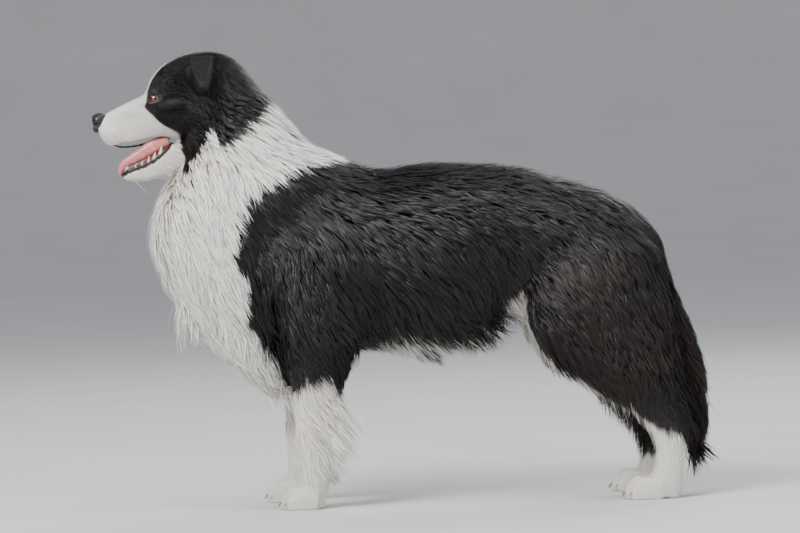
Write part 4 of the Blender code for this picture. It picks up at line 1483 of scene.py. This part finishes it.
def build_eye(side):
    shape = bmesh.new()
    out = eye_gaze(side)
    turn = out.to_track_quat("Z", "Y").to_matrix().to_4x4()
    place = Matrix.Translation(eye_middle(side)) @ turn
    radius = EYE_RADIUS * MM
    bmesh.ops.create_uvsphere(shape, u_segments=64, v_segments=48, radius=radius, matrix=place)
    eye = object_of(shape, "eyeball_" + MARKS[side])
    mesh = eye.data
    away = coordinates(mesh) - np.array(place.translation)
    local = unit((np.array(place.inverted().to_3x3()) @ away.T).T)
    angle = np.arccos(np.clip(local[:, 2], -1, 1))
    bulge = CORNEA_BULGE * MM * np.exp(-((angle / 0.5) ** 2))
    around = np.arctan2(local[:, 1], local[:, 0])
    co = coordinates(mesh)
    co += (np.array(turn.to_3x3()) @ (local * bulge[:, None]).T).T
    set_coordinates(mesh, co)
    set_attribute(mesh, "gaze_angle", angle)
    set_attribute(mesh, "gaze_turn", around)
    dress(eye, material_of(eye_surface), ("eye_" + MARKS[side],))


def eye_gaze(side):
    turn = EYE_TURN - math.radians(12)
    return Vector((-math.cos(turn), side * math.sin(turn), 0.04)).normalized()


def tube(shape, points, radii, sides=10, closed=False, flat=1.0, normal=None):
    """A tube of changing thickness through world points. Its ends are closed."""
    points = np.asarray(points, float)
    count = len(points)
    if closed:
        along_it = np.roll(points, -1, axis=0) - np.roll(points, 1, axis=0)
    else:
        along_it = np.gradient(points, axis=0)
    along_it = unit(along_it)
    guide = np.array(normal if normal is not None else (0.01, 0.02, 1.0), float)
    guide = np.broadcast_to(guide, points.shape)
    first = unit(np.cross(along_it, guide))
    second = np.cross(first, along_it)
    radii = np.broadcast_to(np.asarray(radii, float), (count,))
    loops = []
    for k in range(count):
        ring = []
        for i in range(sides):
            turn = FULL_TURN * i / sides
            away = first[k] * math.cos(turn) + second[k] * math.sin(turn) * flat
            ring.append(shape.verts.new(points[k] + away * radii[k]))
        loops.append(ring)
    bridge(shape, loops, closed)


def build_lids(side):
    """The rims of the lids, on the edge of the opening, with the dark corner by the nose."""
    out, inward, up = eye_axes(side)
    middle = eye_middle(side)
    points, radii = [], []
    for u, v in slit(56):
        lift = math.sqrt(max(12.3**2 - u * u - v * v, 1))
        points.append(middle + (out * lift + inward * u + up * v) * MM)
        radii.append((1.0 + 0.35 * max(0, v / EYE_SLIT[1])) * MM)
    shape = bmesh.new()
    tube(shape, points, radii, sides=10, closed=True, normal=tuple(out))
    rims = object_of(shape, "lid_rims_" + MARKS[side])
    dress(rims, material_of(tissue, "lip_and_lid_skin_smooth"))
    shape = bmesh.new()
    ring = []
    for u, v in slit(56):
        u, v = u * 1.1, v * 1.17
        lift = math.sqrt(max(13.2**2 - u * u - v * v, 1))
        ring.append(middle + (out * lift + inward * u + up * v) * MM)
    tube(shape, ring, 0.42 * MM, sides=8, closed=True, normal=tuple(out))
    pale = object_of(shape, "lid_edges_" + MARKS[side])
    dress(pale, material_of(tissue, "lid_edge_skin_bare"))
    shape = bmesh.new()
    place = Matrix.Translation(middle + (out * 7.3 + inward * (EYE_SLIT[0] - 2.6) - up * 0.4) * MM)
    bmesh.ops.create_uvsphere(shape, u_segments=16, v_segments=12, radius=2.2 * MM, matrix=place)
    corner = object_of(shape, "tear_corner_" + MARKS[side])
    dress(corner, material_of(tissue, "lip_and_lid_skin_smooth"))


def build_nose():
    shape = bmesh.new()
    add_sweep(shape, NOSE, sides=40, per_span=10, squareness=2.4)
    for side in SIDES:
        add_egg(shape, (-470, side * 10, 598), (9, 7.5, 9.5), turn=side * 0.5, about="Z")
    add_egg(shape, (-472, 0, 588), (6, 6, 8))
    nose = object_of(shape, "nose_pad")
    fuse(nose, 0.9)
    for side in SIDES:
        shape = bmesh.new()
        add_egg(shape, (-478, side * 8, 597.5), (8.5, 3.6, 3.8), turn=side * 0.35, about="Z")
        add_egg(shape, (-473, side * 13.5, 594.5), (7.0, 6.5, 1.5), turn=side * 0.5, about="Z")
        cutter = object_of(shape, "nostril_cutter")
        fuse(cutter, 0.6)
        cut_away(nose, cutter)
    mesh = nose.data
    at = to_outline(coordinates(mesh))
    push_out(mesh, -1.5 * dent(at, (-479, 0, 590), (9, 1.2, 14), False))
    relax(mesh, np.full(len(at), 0.6), 2)
    dress(nose, material_of(tissue, "nose_leather_pebbled"), ("nose",))


def build_tongue():
    shape = bmesh.new()
    add_sweep(shape, TONGUE, sides=36, per_span=10, squareness=2.4)
    tongue = object_of(shape, "tongue_tip")
    fuse(tongue, 0.9)
    mesh = tongue.data
    at = to_outline(coordinates(mesh))
    upward = vertex_normals(mesh)[:, 2]
    groove = np.exp(-((at[:, 1] / 2.2) ** 2)) * (upward > 0.2) * ramp(-at[:, 0], 365, 385)
    edge = np.exp(-(((np.abs(at[:, 1]) - 12) / 4) ** 2)) * (upward > 0.1)
    push_out(mesh, 0.7 * edge - 1.8 * groove + 0.35 * wobble(at, 4.5, 30))
    relax(mesh, np.ones(len(at)), 3)
    dress(tongue, material_of(tissue, "tongue_flesh_wet"), ("tongue",))


def horn(shape, points, radii, sides=10, flat=1.0):
    tube(shape, points, np.array(radii) * MM, sides=sides, flat=flat)


def build_teeth():
    shape = bmesh.new()
    for x, z, y, height, half in LOWER_TEETH:
        for side in SIDES:
            lean = 2.0 if height > 10 and x < -420 else 0.8
            points, radii = [], []
            for f in np.linspace(0, 1, 7):
                place = (x - lean + lean * f * f * 1.6, side * (y + 1.2 * f), z - 4 + (height + 4) * f)
                points.append(to_world(place))
                radii.append(half * (1 - f) ** 0.55 * (1 - 0.1 * f) + 0.25)
            horn(shape, points, radii, flat=0.62)
    for side in SIDES:
        for y in (1.6, 4.6, 7.2):
            rise = np.linspace(0, 1, 5)
            points = [to_world((-428.5 - 0.6 * f + 0.12 * y, side * y, 520 + 8.0 * f)) for f in rise]
            horn(shape, points, [1.5, 1.6, 1.6, 1.3, 0.5], flat=0.7)
    teeth = object_of(shape, "teeth")
    dress(teeth, material_of(tissue, "tooth_enamel_smooth"))


def build_lips():
    """Dark edges of the lips along the jaw and under the flews."""
    shape = bmesh.new()
    for name, line in GROOM["lips"].items():
        rows = curve_through(np.array(line, float), 5)
        for side in SIDES:
            points = rows.copy()
            points[:, 1] = side * (rows[:, 1] - 0.6)
            f = np.linspace(0, 1, len(points))
            thick = 2.1 if name == "lower" else 1.4
            radii = thick * np.minimum(1, np.minimum(f * 8, (1 - f) * 8 + 0.2)) + 0.15
            radii = radii * (1 + 0.10 * np.sin(f * 60))
            tube(shape, to_world(points), radii * MM, sides=10)
    lips = object_of(shape, "lip_edges")
    fuse(lips, 0.7)
    dress(lips, material_of(tissue, "lip_and_lid_skin_smooth"))


def build_whiskers():
    rng = np.random.default_rng(61)
    shape = bmesh.new()
    tree = GROOM["skin_tree"]
    spots = []
    for x in (-452, -446, -440, -434, -428):
        for z in (571, 577, 583):
            spots.append((x, z, 0.1, -0.35))
    for x in (-424, -416, -408):
        spots.append((x, 506, 0.5, -0.8))
    for side in SIDES:
        for x, z, back, drop in spots:
            x, z = x + rng.uniform(-1.5, 1.5), z + rng.uniform(-1.5, 1.5)
            hit = tree.ray_cast(Vector(to_world((x, side * 90, z))), Vector((0, -side, 0)), 0.09)
            if hit[0] is None:
                continue
            way = Vector((0.55 + back + rng.uniform(-0.2, 0.2), side * 0.9, drop + rng.uniform(-0.2, 0.2)))
            way.normalize()
            length = rng.uniform(18, 32) * MM
            sag = Vector((0.3, 0, -1)) * length * 0.18
            points = [hit[0] + way * (length * f) + sag * (f * f) for f in np.linspace(-0.04, 1, 7)]
            horn(shape, points, np.linspace(0.28, 0.08, 7), sides=5)
    whiskers = object_of(shape, "whiskers")
    dress(whiskers, material_of(tissue, "whisker_keratin_stiff"))


def toe_tips():
    """The foremost x and the middle y of every toe."""
    found = []
    for toes, step in PAWS:
        for side in SIDES:
            for across, behind in TOES:
                found.append((toes[0] + behind + step[side], side * (toes[1] + across * TOE_PITCH)))
    return found


def build_claws():
    shape = bmesh.new()
    for x, y in toe_tips():
        path = ((11, 12), (7, 12.5), (3.5, 11), (0.8, 8), (-0.4, 4.8))
        points = [to_world((x + dx, y, z)) for dx, z in path]
        horn(shape, points, [2.2, 2.1, 1.8, 1.3, 0.5], flat=0.8)
    claws = object_of(shape, "claws")
    dress(claws, material_of(tissue, "claw_horn_worn"))


def build_pads():
    shape = bmesh.new()
    for x, y in toe_tips():
        add_egg(shape, (x + 17, y, 5.0), (11.0, 5.6, 5.4))
    for toes, step in PAWS:
        for side in SIDES:
            add_egg(shape, (toes[0] + step[side] + 44, side * toes[1], 6), (16, 17, 8))
    pads = object_of(shape, "paw_pads")
    fuse(pads, 1.2)
    raise_soles(pads.data, 0.0)
    dress(pads, material_of(tissue, "paw_pad_leather_rough"))


# ---------------------------------------------------------------- the stage


CAMERA_DISTANCE = 6
VIEW_WIDTH = 800 / 650            # metres across the view at the dog


def aim(obj, target, roll=0.0):
    way = Vector(target) - obj.location
    turn = way.to_track_quat("-Z", "Y").to_matrix().to_4x4()
    obj.rotation_euler = (turn @ Matrix.Rotation(roll, 4, "Z")).to_euler()


def studio_floor():
    """A flat floor out to 13 m, which then curves up, as one turned sheet."""
    profile = ((2, 0), (6, 0), (13, 0), (15, 0.15), (17, 0.8), (18.5, 2.2), (19.3, 4.5), (19.5, 8))
    sides = 96
    shape = bmesh.new()
    centre = shape.verts.new((0, 0, 0))
    loops = []
    for radius, z in profile:
        turns = [FULL_TURN * i / sides for i in range(sides)]
        loops.append([shape.verts.new((radius * math.cos(t), radius * math.sin(t), z)) for t in turns])
    for i in range(sides):
        shape.faces.new((centre, loops[0][i], loops[0][(i + 1) % sides]))
    for a, b in zip(loops, loops[1:]):
        for i in range(sides):
            n = (i + 1) % sides
            shape.faces.new((a[i], b[i], b[n], a[n]))
    floor = object_of(shape, "studio_floor")
    floor.data.materials.append(material_of(studio_paper))
    floor.data.shade_smooth()


def soft_light(name, place, target, size, power, warmth=(1, 1, 1)):
    data = bpy.data.lights.new(name, "AREA")
    data.shape = "RECTANGLE"
    data.size, data.size_y = size
    data.energy = power
    data.color = warmth
    lamp = linked(name, data)
    lamp.location = place
    aim(lamp, target)


def build_stage():
    studio_floor()
    middle = (0, 0, 0.35)
    soft_light("key_light", (-2.6, -3.4, 3.6), middle, (2.2, 2.2), 350, (1.0, 0.98, 0.95))
    soft_light("fill_light", (3.4, -3.0, 1.8), middle, (2.6, 2.0), 60, (0.95, 0.97, 1.0))
    soft_light("rim_light", (1.6, 3.2, 3.4), middle, (2.4, 1.4), 90)
    soft_light("top_light", (0.3, -0.6, 3.6), middle, (2.6, 1.6), 45)
    world = bpy.data.worlds.new("studio_air")
    world.use_nodes = True
    sky = world.node_tree.nodes["Background"].inputs
    sky["Color"].default_value = (0.86, 0.90, 1.0, 1)
    sky["Strength"].default_value = 0.62
    bpy.context.scene.world = world
    data = bpy.data.cameras.new("camera")
    data.lens = data.sensor_width * CAMERA_DISTANCE / VIEW_WIDTH
    data.clip_end = 100
    camera = linked("camera", data)
    turn = math.radians(-3)
    target = (-0.006 + CENTRE_SHIFT, 0, 0.3625)
    x, y = math.sin(turn) * CAMERA_DISTANCE, -math.cos(turn) * CAMERA_DISTANCE
    camera.location = (target[0] + x, y, 0.5)
    aim(camera, target, math.radians(-1.6))
    bpy.context.scene.camera = camera


# ---------------------------------------------------------------- the add-on


class DogSizes(bpy.types.PropertyGroup):
    """Sizes of the coat."""

    tuft_width: FloatProperty(
        name="Tuft width",
        description="Scales how wide each tuft of the coat is",
        default=1.0,
        min=0.3,
        max=2.5,
        subtype="FACTOR",
    )
    lock_seed: IntProperty(
        name="Lock pattern",
        description="Chooses another chance arrangement of the locks",
        default=3,
        min=0,
    )


def colour_choice(name, description, code):
    return FloatVectorProperty(
        name=name, description=description, subtype="COLOR", default=linear(code)
    )


class DogColours(bpy.types.PropertyGroup):
    """Colours of the coat and eyes."""

    black_hair: colour_choice("Black hair", "The dark coat", "#121113")
    rust_hair: colour_choice("Rusty hair", "Sun-faded dark hair", "#3d2a1e")
    white_hair: colour_choice("White hair", "The white coat", "#f7f5f1")
    # Cream root: painted warm shade of the white hair near the skin, darker than the white.
    shaded_cream_root: colour_choice("Cream root", "White hair near the skin", "#e3dccf")
    iris: colour_choice("Iris", "The eye's amber", "#7d4722")


class DOG_OT_skin(bpy.types.Operator):
    """Fuse and carve the skin over the whole body."""

    bl_idname = "dog.skin"
    bl_label = "Skin"

    def execute(self, context):
        skin = build_skin()
        context.view_layer.update()
        GROOM["skin_tree"] = BVHTree.FromObject(skin, context.evaluated_depsgraph_get())
        return {"FINISHED"}


class DOG_OT_face(bpy.types.Operator):
    """Eyes, lids, nose, lips, tongue, teeth and whiskers."""

    bl_idname = "dog.face"
    bl_label = "Face"

    def execute(self, context):
        if "skin_tree" not in GROOM:
            raise RuntimeError("make the skin before the face")
        for side in SIDES:
            build_eye(side)
            build_lids(side)
        build_nose()
        build_tongue()
        build_teeth()
        build_lips()
        build_whiskers()
        return {"FINISHED"}


class DOG_OT_feet(bpy.types.Operator):
    """Claws and pads of the paws."""

    bl_idname = "dog.feet"
    bl_label = "Claws and pads"

    def execute(self, context):
        build_claws()
        build_pads()
        return {"FINISHED"}


class DOG_OT_body_coat(bpy.types.Operator):
    """The long coat of the sides, ruff, thighs and tail."""

    bl_idname = "dog.body_coat"
    bl_label = "Body coat"

    def execute(self, context):
        grow_coats(("side", "ruff", "thigh", "tail"), 100)
        return {"FINISHED"}


class DOG_OT_short_coat(bpy.types.Operator):
    """The shorter coat of the head, ears and legs."""

    bl_idname = "dog.short_coat"
    bl_label = "Short coat"

    def execute(self, context):
        grow_coats(("face", "head", "ear", "foreleg", "fringe", "shank"), 600)
        return {"FINISHED"}


class DOG_OT_stage(bpy.types.Operator):
    """Pale floor, soft studio light and the camera."""

    bl_idname = "dog.stage"
    bl_label = "Stage"

    def execute(self, context):
        build_stage()
        return {"FINISHED"}


class DOG_PT_panel(bpy.types.Panel):
    """Lists the steps that make the dog."""

    bl_label = "Long-coated dog"
    bl_idname = "DOG_PT_panel"
    bl_space_type = "VIEW_3D"
    bl_region_type = "UI"
    bl_category = "Dog"

    def draw(self, context):
        layout = self.layout
        for name in ("tuft_width", "lock_seed"):
            layout.prop(context.scene.dog_sizes, name)
        for name in ("black_hair", "rust_hair", "white_hair", "shaded_cream_root", "iris"):
            layout.prop(context.scene.dog_colours, name)
        for step in STEPS:
            layout.operator(step.bl_idname)


STEPS = (
    DOG_OT_skin, DOG_OT_face, DOG_OT_feet, DOG_OT_body_coat, DOG_OT_short_coat, DOG_OT_stage,
)
CLASSES = (DogSizes, DogColours) + STEPS + (DOG_PT_panel,)


def register():
    for cls in CLASSES:
        bpy.utils.register_class(cls)
    bpy.types.Scene.dog_sizes = PointerProperty(type=DogSizes)
    bpy.types.Scene.dog_colours = PointerProperty(type=DogColours)


def unregister():
    del bpy.types.Scene.dog_colours
    del bpy.types.Scene.dog_sizes
    for cls in reversed(CLASSES):
        bpy.utils.unregister_class(cls)


def main():
    register()
    bpy.ops.dog.skin()
    bpy.ops.dog.face()
    bpy.ops.dog.feet()
    bpy.ops.dog.body_coat()
    bpy.ops.dog.short_coat()
    bpy.ops.dog.stage()


if __name__ == "__main__":
    main()
